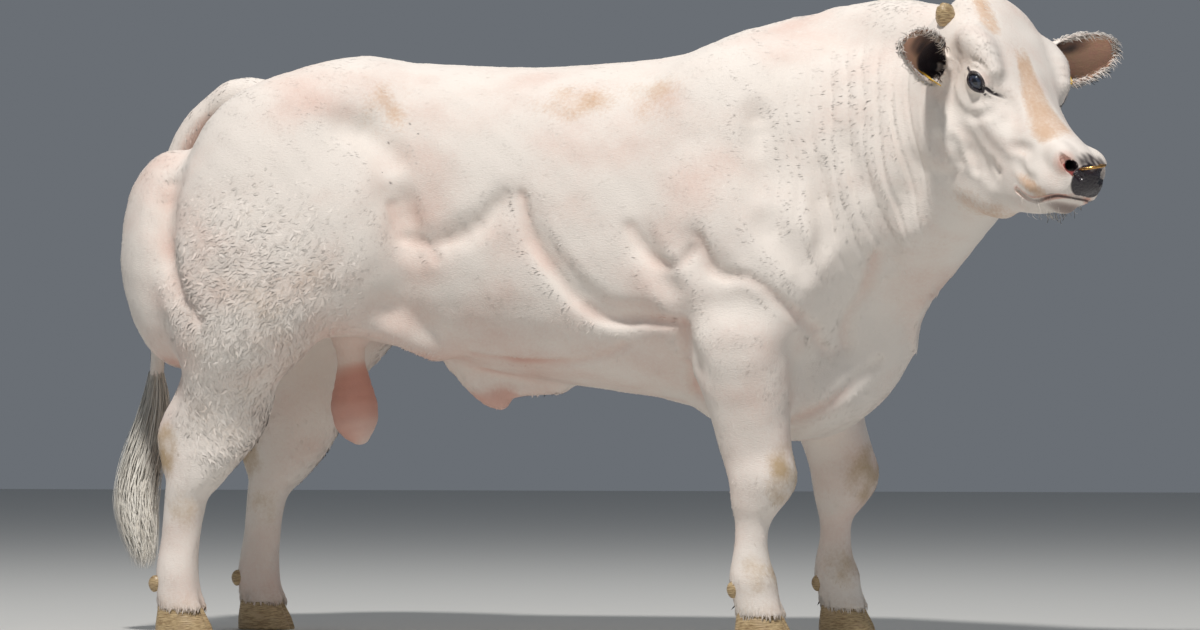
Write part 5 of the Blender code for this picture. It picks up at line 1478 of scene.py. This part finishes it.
class Hide:
    """The finished skin, and places picked on it for hair to grow from."""

    def __init__(self, obj):
        data = obj.data
        data.calc_loop_triangles()
        tris = np.zeros(len(data.loop_triangles) * 3, np.int32)
        data.loop_triangles.foreach_get("vertices", tris)
        points, self.normals = read_vertices(data)
        self.points = points - SHIFT
        self.tris = tris.reshape(-1, 3)
        a, b, c = (self.points[self.tris[:, k]] for k in range(3))
        self.area = np.linalg.norm(np.cross(b - a, c - a), axis=1) / 2
        self.middle = (a + b + c) / 3
        self.facing = unit(self.normals[self.tris].sum(1) + 1e-12)

    def pick(self, share, per_square_metre, seed):
        """Places by chance, denser where share is high: points, normals."""
        rng = np.random.default_rng(seed)
        weight = self.area * share
        count = int(weight.sum() * per_square_metre)
        chosen = rng.choice(len(weight), count, p=weight / weight.sum())
        u, v = rng.random((2, count, 1))
        flip = u + v > 1
        u, v = np.where(flip, 1 - u, u), np.where(flip, 1 - v, v)
        w = 1 - u - v
        t = self.tris[chosen]
        p = self.points[t[:, 0]] * w + self.points[t[:, 1]] * u + self.points[t[:, 2]] * v
        n = unit(self.normals[t[:, 0]] * w + self.normals[t[:, 1]] * u + self.normals[t[:, 2]] * v + 1e-12)
        return p, n


MADE = {}


def grow(name, share, per_square_metre, seed, length, width, lift, rings, looks="coat", spread=0.22, parts=1,
         **more):
    """Tufts over the part of the skin where share is above 0, in one or more pieces."""
    hide = MADE["hide"]
    root, normal = hide.pick(share, per_square_metre, seed)
    rng = np.random.default_rng(seed + 500)
    lie = lie_at(root, normal, head_share(root))
    side = np.cross(normal, lie)
    lie = unit(lie + side * rng.normal(0, spread, (len(root), 1)))
    if more.pop("down", None):
        lie = unit(lie + np.array([0, 0, -1.2]))
    size = rng.uniform(0.7, 1.3, len(root))
    long = length(root) * size if callable(length) else length * size
    wide = width(root) * size if callable(width) else width * size
    high = lift * rng.uniform(0.5, 1.5, len(root))
    marks = marks_at(root, normal)
    pale = more.pop("pale", 0.0)
    marks = {k: v * (1 - pale) for k, v in marks.items()}
    pieces = []
    order = np.argsort(root[:, 0])
    for i, some in enumerate(np.array_split(order, parts)):
        label = name if parts == 1 else f"{name}_{i + 1}"
        piece = locks(label, MADE["looks"].get(looks), root[some], normal[some], lie[some], long[some],
                      wide[some], high[some],
                      rings, seed=seed + i, marks={k: v[some] for k, v in marks.items()}, **more)
        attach(piece, "root")
        pieces.append(piece)
    return pieces


def flesh_nodes():
    """The frame's nodes that the one skin stands for."""
    words = ("torso", "neck", "head", "foreleg", "hindleg", "scrotum", "sheath", "ear_left", "ear_right")
    return [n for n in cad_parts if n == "tail" or any(n.startswith(w) for w in words)]


def setting(name, words, value, **more):
    return bpy.props.FloatProperty(name=name, description=words, default=value, unit="LENGTH", **more)


def shade(name, words, colour):
    return bpy.props.FloatVectorProperty(name=name, description=words, default=linear(colour),
                                         subtype="COLOR", size=3,
                                         min=0, max=1)


class BullSizes(bpy.types.PropertyGroup):
    """Sizes of the mesh and the coat."""

    body_step: setting("Body mesh", "Distance between points of the skin on the body", 0.0074)
    head_step: setting("Head mesh", "Distance between points of the skin on the head", 0.0032)
    coat_length: setting("Coat", "Length of the short hair", 0.015)
    curl_length: setting("Curls", "Length of the curly hair on the thigh", 0.024)


class BullColours(bpy.types.PropertyGroup):
    """Colours of the coat, the skin and what the bull wears."""

    white: shade("White", "Hair of the coat", (243, 234, 225))
    # Pink also paints shade along the dips between the body's muscles.
    pink: shade("Pink", "Skin that shows through the coat", (228, 196, 182))
    flesh: shade("Flesh", "Bare skin", (214, 150, 132))
    tan: shade("Tan", "Light brown patches", (214, 176, 142))
    soil: shade("Soil", "Soiled and yellowed hair", (196, 170, 136))
    raw: shade("Raw", "Red skin inside the nostrils", (150, 70, 66))
    # Dark also paints shade inside the ears, in the nostrils and along the mouth's crease.
    dark: shade("Dark", "Pigment of the muzzle and eye rims", (44, 36, 42))
    glow: shade("Glow", "Tips of the hair", (255, 250, 243))
    iris: shade("Iris", "Blue-grey of the eye", (62, 72, 96))
    iris_rim: shade("Iris rim", "Dark edge of the iris", (16, 18, 28))
    eye_white: shade("Eye white", "White of the eye", (150, 138, 136))
    horn: shade("Horn", "Pale horn", (206, 182, 140))
    horn_dark: shade("Dark horn", "Darker grain in horn", (140, 112, 78))
    brass: shade("Brass", "Nose ring", (226, 176, 104))
    brass_worn: shade("Worn brass", "Dull places of the nose ring", (156, 108, 62))
    tag: shade("Tag", "Ear tags", (236, 190, 40))
    switch: shade("Switch", "Hair at the tail's end", (240, 236, 226))
    switch_dark: shade("Switch shade", "Greyer strands", (222, 216, 204))


class PieceOperator:
    bl_options = {"REGISTER", "UNDO"}

    def execute(self, context):
        self.make(context.scene.bull_sizes)
        return {"FINISHED"}


class BULL_OT_skin(PieceOperator, bpy.types.Operator):
    """One skin over the whole animal, in place of the nodes of flesh"""

    bl_idname = "bull.skin"
    bl_label = "Skin"

    def make(self, sizes):
        clay = whole()
        bm = skin_mesh(clay, sizes.body_step, sizes.head_step)
        data = bpy.data.meshes.new("skin")
        bm.to_mesh(data)
        bm.free()
        p, normals = read_vertices(data)
        marks = marks_at(p, normals)
        p = p + normals * relief(p, normals, marks["bare"])[:, None] + SHIFT
        data.vertices.foreach_set("co", p.astype(np.float32).ravel())
        data.update()
        data.shade_smooth()
        data.materials.append(MADE["looks"].get("hide"))
        put_marks(data, marks)
        skin = bpy.data.objects.new("skin", data)
        bpy.context.scene.collection.objects.link(skin)
        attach(skin, "root")
        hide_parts(*flesh_nodes())
        MADE["clay"], MADE["hide"] = clay, Hide(skin)
        MADE["marks"] = marks_at(MADE["hide"].middle, MADE["hide"].facing)


class BULL_OT_coat(PieceOperator, bpy.types.Operator):
    """Short tufts over the body and legs"""

    bl_idname = "bull.coat"
    bl_label = "Coat"

    def make(self, sizes):
        p, n = MADE["hide"].middle, MADE["hide"].facing
        furred = np.clip(1 - 1.6 * MADE["marks"]["bare"], 0, 1) * (1 - head_share(p)) * (p[:, 2] > 0.068)
        shag = curls_at(p)
        grow("coat_body", furred * (1 - 0.8 * shag), 8600, 41, sizes.coat_length, 0.0028, 0.030, 2, parts=4,
             thick=0.2,
             jitter=0.06)
        grow("coat_thigh_curls", furred * shag, 22000, 42,
             lambda q: sizes.curl_length * (0.40 + 0.60 * curls_at(q)), 0.0050, 0.035, 4, curl=0.10,
             turns=1.0,
             spread=0.6, parts=3, thick=0.14, jitter=0.13)
        crest = spot(p, (0.68, -0.07, 1.46), (0.30, 0.16, 0.12), 0.5) * furred
        grow("coat_crest", crest, 7000, 43, 0.020, 0.0024, 0.020, 3, curl=0.02, thick=0.15, pale=0.6,
             jitter=0.06)
        hem = furred * (1 - fade(p[:, 2], 0.075, 0.11))
        grow("coat_coronet", hem, 30000, 44, 0.014, 0.0022, 0.10, 3, down=True, thick=0.3)


class BULL_OT_face_hair(PieceOperator, bpy.types.Operator):
    """Fine tufts on the head, the fringes of the ears, and chin and lip hair"""

    bl_idname = "bull.face_hair"
    bl_label = "Face hair"

    def make(self, sizes):
        hide = MADE["hide"]
        p, n = hide.middle, hide.facing
        share = head_share(p)
        local = to_head(p)
        near = np.stack([local[:, 0], np.abs(local[:, 1]), local[:, 2]], 1)
        furred = np.clip(1 - 1.8 * MADE["marks"]["bare"], 0, 1) * share
        fine = fade(local[:, 0], 0.10, 0.30)
        ball = EYE[:3]
        off_lids = fade(np.linalg.norm(near - ball, axis=1), 0.034, 0.046)
        grow("coat_head", furred * off_lids * (1 - 0.5 * fine), 32000, 51,
             lambda q: 0.0095 - 0.0045 * fade(to_head(q)[:, 0], 0.0, 0.25), 0.0019, 0.035, 2, parts=2,
             thick=0.25,
             jitter=0.08)
        poll = spot(local, (-0.20, 0, 0.10), (0.09, 0.10, 0.06), 0.6) * furred
        grow("coat_poll", poll, 16000, 52, 0.014, 0.0022, 0.04, 3, curl=0.02, spread=0.4, thick=0.2,
             pale=0.4)
        edge = np.zeros(len(p))
        for s in SIDES:
            at, axes = ear_frame(s)
            u, v, w = ((p - at) @ axes.T).T
            t = np.clip(u / EAR_LONG, 0, 1)
            r = curve(t, [e[0] for e in EAR], [e[1] for e in EAR])
            half = np.radians(curve(t, [e[0] for e in EAR], [e[2] for e in EAR]))
            turn = np.arctan2(np.abs(v), r + 0.012 * t * t - w)
            wall = np.abs(np.hypot(v, w - 0.012 * t * t - r) - r) < 0.012
            mine = (u > 0.02) & (np.sign(local[:, 1]) == s) & (near[:, 1] > 0.142) & wall
            edge = most(edge, mine * fade(turn / half, 0.80, 0.95), mine * fade(t, 0.90, 0.97))
        grow("coat_ear_fringe", edge * share, 60000, 53, 0.018, 0.0015, 0.26, 3, curl=0.03, spread=0.6,
             droop=0.25,
             pale=0.8, jitter=0.2)
        chin = spot(near, (0.262, 0.0, -0.118), (0.055, 0.06, 0.025), 0.5) * share
        grow("coat_chin", chin, 8000, 54, 0.022, 0.0011, 0.30, 3, curl=0.05, spread=0.6, down=True, pale=0.9)
        lip = stroke(near, [(0.20, 0.084, -0.098), (0.25, 0.070, -0.104), (0.30, 0.045, -0.086)],
                     0.012) * share
        grow("coat_lip", lip, 9000, 55, 0.012, 0.0010, 0.25, 2, spread=0.4, down=True,
             pale=0.8)


class BULL_OT_eyes(PieceOperator, bpy.types.Operator):
    """Eyeballs with a raised cornea, and lashes over them"""

    bl_idname = "bull.eyes"
    bl_label = "Eyes"

    def make(self, sizes):
        r = EYE[3]
        for s in SIDES:
            bm = bmesh.new()
            bmesh.ops.create_uvsphere(bm, u_segments=64, v_segments=40, radius=r)
            turn = Matrix.Rotation(math.radians(-90), 3, "X")
            for v in bm.verts:
                v.co = turn @ v.co
                off = math.hypot(v.co.x, v.co.z) / r
                if v.co.y > 0 and off < 0.82:
                    v.co.y += 0.0014 * (1 - (off / 0.82) ** 2)
            name = "eye_" + NAMES[s] + "_ball"
            data = bpy.data.meshes.new(name)
            bm.to_mesh(data)
            bm.free()
            data.shade_smooth()
            data.materials.append(MADE["looks"].get("eyeball"))
            ball = bpy.data.objects.new(name, data)
            bpy.context.scene.collection.objects.link(ball)
            at, axes = eye_frame(s)
            if s < 0:
                axes = axes * [[-1], [1], [1]]
            place = Matrix(axes.tolist()).transposed().to_4x4()
            place.translation = Vector(at + SHIFT)
            ball.matrix_world = place
            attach(ball, "root")
            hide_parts("eye_" + NAMES[s])
        self.lashes()

    def lashes(self):
        root, normal, lie = [], [], []
        long, above, _ = LID_GAP
        for s in SIDES:
            frame = eye_frame(s)
            for a in np.linspace(-0.85, 0.80, 34):
                p = on_eye(frame, long * a, above * (1 - abs(a) ** 2.4) + 0.0022, EYE[3] + 0.0034)
                out = unit(p - frame[0])
                root.append(p)
                normal.append(frame[1][2])
                lie.append(unit(out + 0.25 * frame[1][2] + 0.6 * a * frame[1][0]))
        root, normal, lie = np.array(root), np.array(normal), np.array(lie)
        normal = unit(normal - lie * (normal * lie).sum(1)[:, None])
        marks = {k: np.zeros(len(root)) for k in MARKS}
        marks["tan"] += 0.3
        piece = locks("lashes", MADE["looks"].get("coat"), root, normal, lie, 0.009, 0.0006, 0.12, 4,
                      seed=61, marks=marks)
        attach(piece, "root")


CLAW_HEIGHT = 0.0752
# How far each claw's inner face stands from the middle of the foot.
HALF_CLEFT = 0.0015


def outline_ring(toe, heel, wide, split, count):
    """The claw's outline at one height as a closed smooth curve: straight inside, round outside."""
    pins = np.array([(heel, 0.008), (heel + 0.004, wide * 0.75), (heel + 0.03, wide * 0.97),
                     ((toe + heel) / 2 + 0.01, wide),
                     (toe - 0.022, wide * 0.82), (toe - 0.004, wide * 0.45),
                     (toe, wide * 0.22 + split * 0.4),
                     (toe - 0.012, HALF_CLEFT + split * 0.5), (0.0, HALF_CLEFT), (heel + 0.012, HALF_CLEFT)])
    around = np.concatenate([pins[-2:], pins, pins[:2]])
    along = np.concatenate([[0], np.cumsum(np.linalg.norm(np.diff(around, axis=0), axis=1))])
    at = np.linspace(along[2], along[-2], count, endpoint=False)
    return np.stack([curve(at, along, around[:, 0]), np.maximum(curve(at, along, around[:, 1]), HALF_CLEFT)],
                    1)


class BULL_OT_claws(PieceOperator, bpy.types.Operator):
    """Claws with growth rings, and dewclaws"""

    bl_idname = "bull.claws"
    bl_label = "Claws"

    def make(self, sizes):
        for s in SIDES:
            for part, stance, x in (("fore", FORE, FORE_FOOT), ("hind", HIND, HIND_FOOT)):
                dx, y = stance[s]
                at = np.array([x + dx, s * y, 0.0])
                for inner, which in ((1, "left"), (-1, "right")):
                    node = f"{part}_{NAMES[s]}_claw_{which}"
                    self.claw(node, at, inner)
                    self.dewclaw(node.replace("claw", "dewclaw"), at, inner)

    def claw(self, node, at, inner, levels=22, count=44):
        rings = []
        for i in range(levels):
            t = i / (levels - 1)
            z = CLAW_HEIGHT * t
            toe = np.interp(z, (0, 0.03, CLAW_HEIGHT), (0.078, 0.068, 0.044))
            heel = np.interp(z, (0, 0.03, CLAW_HEIGHT), (-0.054, -0.054, -0.050))
            wide = np.interp(z, (0, 0.03, CLAW_HEIGHT), (0.056, 0.055, 0.047)) + 0.0004 * math.sin(i * 2.4)
            split = np.interp(z, (0, 0.03, CLAW_HEIGHT), (0.010, 0.006, 0.002))
            shrink = 0.003 if i == 0 else 0.0
            ring = outline_ring(toe - shrink, heel + shrink, wide - shrink, split, count)
            rings.append([at + (u, inner * w, z) for u, w in ring])
        points = [p for ring in rings for p in ring]
        faces = [(i * count + k, i * count + (k + 1) % count, (i + 1) * count + (k + 1) % count,
                  (i + 1) * count + k)
                 for i in range(levels - 1) for k in range(count)]
        faces += [tuple(range(count))[::-1], tuple(range((levels - 1) * count, levels * count))]
        self.place(node, points, faces)

    def dewclaw(self, node, at, inner):
        bm = bmesh.new()
        bmesh.ops.create_uvsphere(bm, u_segments=24, v_segments=16, radius=1.0)
        points = []
        for v in bm.verts:
            u, w, h = v.co
            taper = 1 - 0.25 * max(0.0, -h)
            points.append(at + np.array([-0.056 + 0.017 * u * taper - 0.003 * max(0.0, -h),
                                         inner * 0.030 + 0.012 * w * taper,
                                         0.128 + 0.020 * h]))
        faces = [[v.index for v in f.verts] for f in bm.faces]
        bm.free()
        self.place(node, points, faces)

    def place(self, node, points, faces):
        piece = finish_mesh(node + "_horn", points, faces, MADE["looks"].get("horn"))
        bm = bmesh.new()
        bm.from_mesh(piece.data)
        bmesh.ops.recalc_face_normals(bm, faces=bm.faces)
        bm.to_mesh(piece.data)
        bm.free()
        piece.data.set_sharp_from_angle(angle=math.radians(50))
        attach(piece, "root")
        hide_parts(node)


class BULL_OT_horn_buds(PieceOperator, bpy.types.Operator):
    """Rough horn buds at the poll"""

    bl_idname = "bull.horn_buds"
    bl_label = "Horn buds"

    def make(self, sizes):
        for s in SIDES:
            bm = bmesh.new()
            bmesh.ops.create_uvsphere(bm, u_segments=36, v_segments=24, radius=1.0)
            ball = np.array([v.co for v in bm.verts])
            faces = [[v.index for v in f.verts] for f in bm.faces]
            bm.free()
            rough = 1 + 0.05 * wobble(ball, 0.5, 71) + 0.03 * wobble(ball, 0.2, 72)
            way = unit(np.array(BUD_WAY) * (1, s, 1))
            ahead = unit(np.array((1.0, 0, 0)) - way * way[0])
            axes = np.array([ahead, np.cross(way, ahead), way]) @ HEAD_AXES
            low = 0.012 if s > 0 else 0.0
            points = on_head(BUD_AT[0], s * (BUD_AT[1] - low),
                             BUD_AT[2] - low) + (ball * rough[:, None] * BUD_SIZE) @ axes
            piece = finish_mesh("horn_bud_" + NAMES[s] + "_horn", points, faces, MADE["looks"].get("horn"))
            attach(piece, "root")
            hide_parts("horn_bud_" + NAMES[s])


class BULL_OT_nose_ring(PieceOperator, bpy.types.Operator):
    """A brass ring through the nose, with its hinge"""

    bl_idname = "bull.nose_ring"
    bl_label = "Nose ring"

    def make(self, sizes, major=0.030, minor=0.0032, around=120, sides=18):
        centre = on_head(*RING_AT)
        forward = unit(HEAD_AXES[0] * (1, 1, 0))
        left = unit(np.cross((0, 0, 1), forward) + (0, 0, RING_RISE))
        up = np.cross(forward, left)
        points, faces = [], []
        for i, a in enumerate(np.linspace(0, 2 * math.pi, around, endpoint=False)):
            out = math.cos(a) * forward + math.sin(a) * left
            seam = min(abs(a - 0.9), abs(a + 0.9 - 2 * math.pi))
            fat = minor * (1 - 0.18 * math.exp(-(seam / 0.03) ** 2))
            points += [centre + out * (major + fat * math.cos(t)) + up * fat * math.sin(t)
                       for t in np.linspace(0, 2 * math.pi, sides, endpoint=False)]
            b = (i + 1) % around
            faces += [(i * sides + k, b * sides + k, b * sides + (k + 1) % sides,
                       i * sides + (k + 1) % sides)
                      for k in range(sides)]
        ring = finish_mesh("nose_ring_brass", points, faces, MADE["looks"].get("brass"))
        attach(ring, "root")
        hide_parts("nose_ring")


class BULL_OT_ear_tags(PieceOperator, bpy.types.Operator):
    """A bare plate inside each ear, its pin and the button behind"""

    bl_idname = "bull.ear_tags"
    bl_label = "Ear tags"

    def make(self, sizes):
        for s in SIDES:
            centre, turned_axes = tag_frame(s)
            bm = bmesh.new()
            self.block(bm, (-0.026, -0.018, 0.0035), (0.026, 0.036, 0.0060), 0.0009, 8)
            self.disc(bm, 0.0045, -0.006, 0.0065)
            self.disc(bm, 0.0115, 0.0055, 0.0075)
            self.disc(bm, 0.0110, -0.0125, -0.0095)
            points = [centre + np.array(v.co) @ turned_axes for v in bm.verts]
            faces = [[v.index for v in f.verts] for f in bm.faces]
            bm.free()
            piece = finish_mesh("ear_tag_" + NAMES[s] + "_plate", points, faces,
                                MADE["looks"].get("tag_plastic"))
            piece.data.set_sharp_from_angle(angle=math.radians(40))
            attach(piece, "root")
            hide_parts("ear_tag_" + NAMES[s])

    @staticmethod
    def block(bm, low, high, bevel, cuts):
        """A bowed plate with rounded corners."""
        made = bmesh.ops.create_cube(bm, size=1.0)["verts"]
        low, high = np.array(low), np.array(high)
        for v in made:
            v.co = Vector((low + high) / 2 + np.array(v.co) * (high - low))
        upright = [e for e in bm.edges if abs(e.verts[0].co.z - e.verts[1].co.z) > 1e-6]
        bmesh.ops.bevel(bm, geom=upright, offset=0.008, segments=6, profile=0.5, affect="EDGES")
        bmesh.ops.bevel(bm, geom=list(bm.edges), offset=bevel, segments=2, profile=0.5, affect="EDGES")

    @staticmethod
    def disc(bm, radius, low, high):
        made = bmesh.ops.create_cone(bm, cap_ends=True, segments=32, radius1=radius, radius2=radius * 0.92,
                                     depth=high - low)
        bmesh.ops.translate(bm, verts=made["verts"], vec=(0, 0, (low + high) / 2))


class BULL_OT_tail_hair(PieceOperator, bpy.types.Operator):
    """Long wavy strands at the end of the tail"""

    bl_idname = "bull.tail_hair"
    bl_label = "Tail hair"

    def make(self, sizes, count=1700, rings=9):
        rng = np.random.default_rng(81)
        line = np.array(SWITCH)
        xs, zs = line[::-1, 0], line[::-1, 1]
        t = rng.random(count) ** 1.2
        z = 0.64 - 0.26 * t
        angle = rng.uniform(0, 2 * math.pi, count)
        out = np.stack([np.cos(angle), 0.85 * np.sin(angle), np.zeros(count)], 1)
        core = np.interp(z, (0.36, 0.46, 0.60, 0.66), (0.008, 0.024, 0.022, 0.018))
        root = np.stack([curve(z, zs, xs), np.zeros(count), z],
                        1) + out * core[:, None] * rng.random((count, 1)) ** 0.4
        end = np.maximum(0.150 + 0.10 * rng.random(count) ** 2, z - 0.40 * rng.uniform(0.75, 1.05, count))
        spread = rng.uniform(0.008, 0.062, count)
        wide = rng.uniform(0.0014, 0.0034, count)
        phase, wave = rng.uniform(0, 2 * math.pi, count), rng.uniform(0.004, 0.018, count)
        layers = []
        side = unit(np.cross(out, (0, 0, -1)))
        for i in range(rings + 1):
            k = i / rings
            drop = z + (end - z) * k
            bow = np.sin(math.pi * np.minimum(1.0, 0.12 + 0.72 * k)) - math.sin(math.pi * 0.12)
            sway = wave * k * np.sin(phase + 9 * k)
            middle = root + out * (spread * bow)[:, None] + side * sway[:, None]
            middle[:, 0] += curve(drop, zs, xs) - curve(z, zs, xs)
            middle[:, 2] = drop
            if i == rings:
                layers.append(middle[:, None, :])
                break
            half = (wide * (1 - k ** 2.2) * 0.5)[:, None]
            layers.append(np.stack([middle - side * half, middle + out * half * 0.7, middle + side * half],
                                   1))
        patch = np.stack([0.82 + 0.16 * (angle / (2 * math.pi)), 0.80 + 0.18 * (z - 0.3) / 0.4], 1)
        facing = unit(out + (0, 0, 0.9) + rng.normal(0, 0.25, (count, 3)))
        piece = strands("tail_switch_hair", MADE["looks"].get("switch_hair"), np.concatenate(layers, 1),
                        patch, facing,
                        {"tone": rng.random(count)})
        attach(piece, "root")
        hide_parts("tail_switch")


SKY_COLOUR = (0.60, 0.66, 0.74, 1)
SKY_STRENGTH = 0.24
FLOOR_WIDTH = 60
# (name, place, width, power in watts, colour)
LAMPS = (
    ("key", (0.2, -6.0, 10.2), 1.2, 1010, (1.0, 0.97, 0.94)),
    ("fill", (6.5, -5.5, 2.4), 4.0, 22, (0.90, 0.95, 1.0)),
    ("top", (-0.6, 2.4, 6.6), 3.0, 70, (1.0, 0.99, 0.97)),
)


class BULL_OT_stage(PieceOperator, bpy.types.Operator):
    """Plain pale floor, soft studio light and the camera"""

    bl_idname = "bull.stage"
    bl_label = "Stage"

    def make(self, sizes):
        scene = bpy.context.scene
        world = bpy.data.worlds.new("studio")
        scene.world = world
        world.use_nodes = True
        sky = world.node_tree.nodes["Background"]
        sky.inputs["Color"].default_value = SKY_COLOUR
        sky.inputs["Strength"].default_value = SKY_STRENGTH
        scene.view_settings.view_transform = "Standard"
        bpy.ops.mesh.primitive_plane_add(size=FLOOR_WIDTH, location=(0, 0, 0))
        floor = bpy.context.active_object
        floor.name = "floor"
        b = Board("floor")
        floor.data.materials.append(b.finish(Base_Color=linear((206, 206, 203)), Roughness=0.9))
        middle = Vector((0, 0, 0.75))
        for name, place, size, power, colour in LAMPS:
            lamp = bpy.data.lights.new(name, "AREA")
            lamp.shape, lamp.size, lamp.energy, lamp.color = "DISK", size, power, colour
            obj = bpy.data.objects.new(name, lamp)
            scene.collection.objects.link(obj)
            obj.location = place
            obj.rotation_euler = (middle - Vector(place)).to_track_quat("-Z", "Y").to_euler()
        self.camera(scene)

    @staticmethod
    def camera(scene, turn=15.0, away=9.0, height=0.45, aim=0.767, lens=113.4):
        """The photograph's view: a long lens, low, a little toward the head."""
        target = np.array([0.0, 0.0, aim])
        eye = np.array([away * math.sin(math.radians(turn)), -away * math.cos(math.radians(turn)), height])
        data = bpy.data.cameras.new("camera")
        data.lens, data.sensor_width, data.clip_end = lens, 36.0, 200.0
        obj = bpy.data.objects.new("camera", data)
        scene.collection.objects.link(obj)
        obj.location = Vector(eye + SHIFT)
        obj.rotation_euler = Vector(target - eye).to_track_quat("-Z", "Y").to_euler()
        scene.camera = obj


OPERATORS = (BULL_OT_skin, BULL_OT_eyes, BULL_OT_claws, BULL_OT_horn_buds, BULL_OT_nose_ring,
             BULL_OT_ear_tags,
             BULL_OT_coat, BULL_OT_face_hair, BULL_OT_tail_hair, BULL_OT_stage)


class BULL_PT_panel(bpy.types.Panel):
    """Lists the pieces, their sizes and colours"""

    bl_idname = "BULL_PT_panel"
    bl_label = "Belgian Blue bull"
    bl_space_type = "VIEW_3D"
    bl_region_type = "UI"
    bl_category = "Bull"

    def draw(self, context):
        for group in (context.scene.bull_sizes, context.scene.bull_colours):
            for name in group.bl_rna.properties.keys():
                if name not in ("rna_type", "name"):
                    self.layout.prop(group, name)
        for operator in OPERATORS:
            self.layout.operator(operator.bl_idname)


CLASSES = (BullSizes, BullColours, *OPERATORS, BULL_PT_panel)


def register():
    for item in CLASSES:
        bpy.utils.register_class(item)
    bpy.types.Scene.bull_sizes = bpy.props.PointerProperty(type=BullSizes)
    bpy.types.Scene.bull_colours = bpy.props.PointerProperty(type=BullColours)


def unregister():
    del bpy.types.Scene.bull_colours
    del bpy.types.Scene.bull_sizes
    for item in reversed(CLASSES):
        bpy.utils.unregister_class(item)


def main():
    register()
    MADE["looks"] = Looks(bpy.context.scene.bull_colours)
    for operator in OPERATORS:
        space, name = operator.bl_idname.split(".")
        getattr(getattr(bpy.ops, space), name)()


if __name__ == "__main__":
    main()
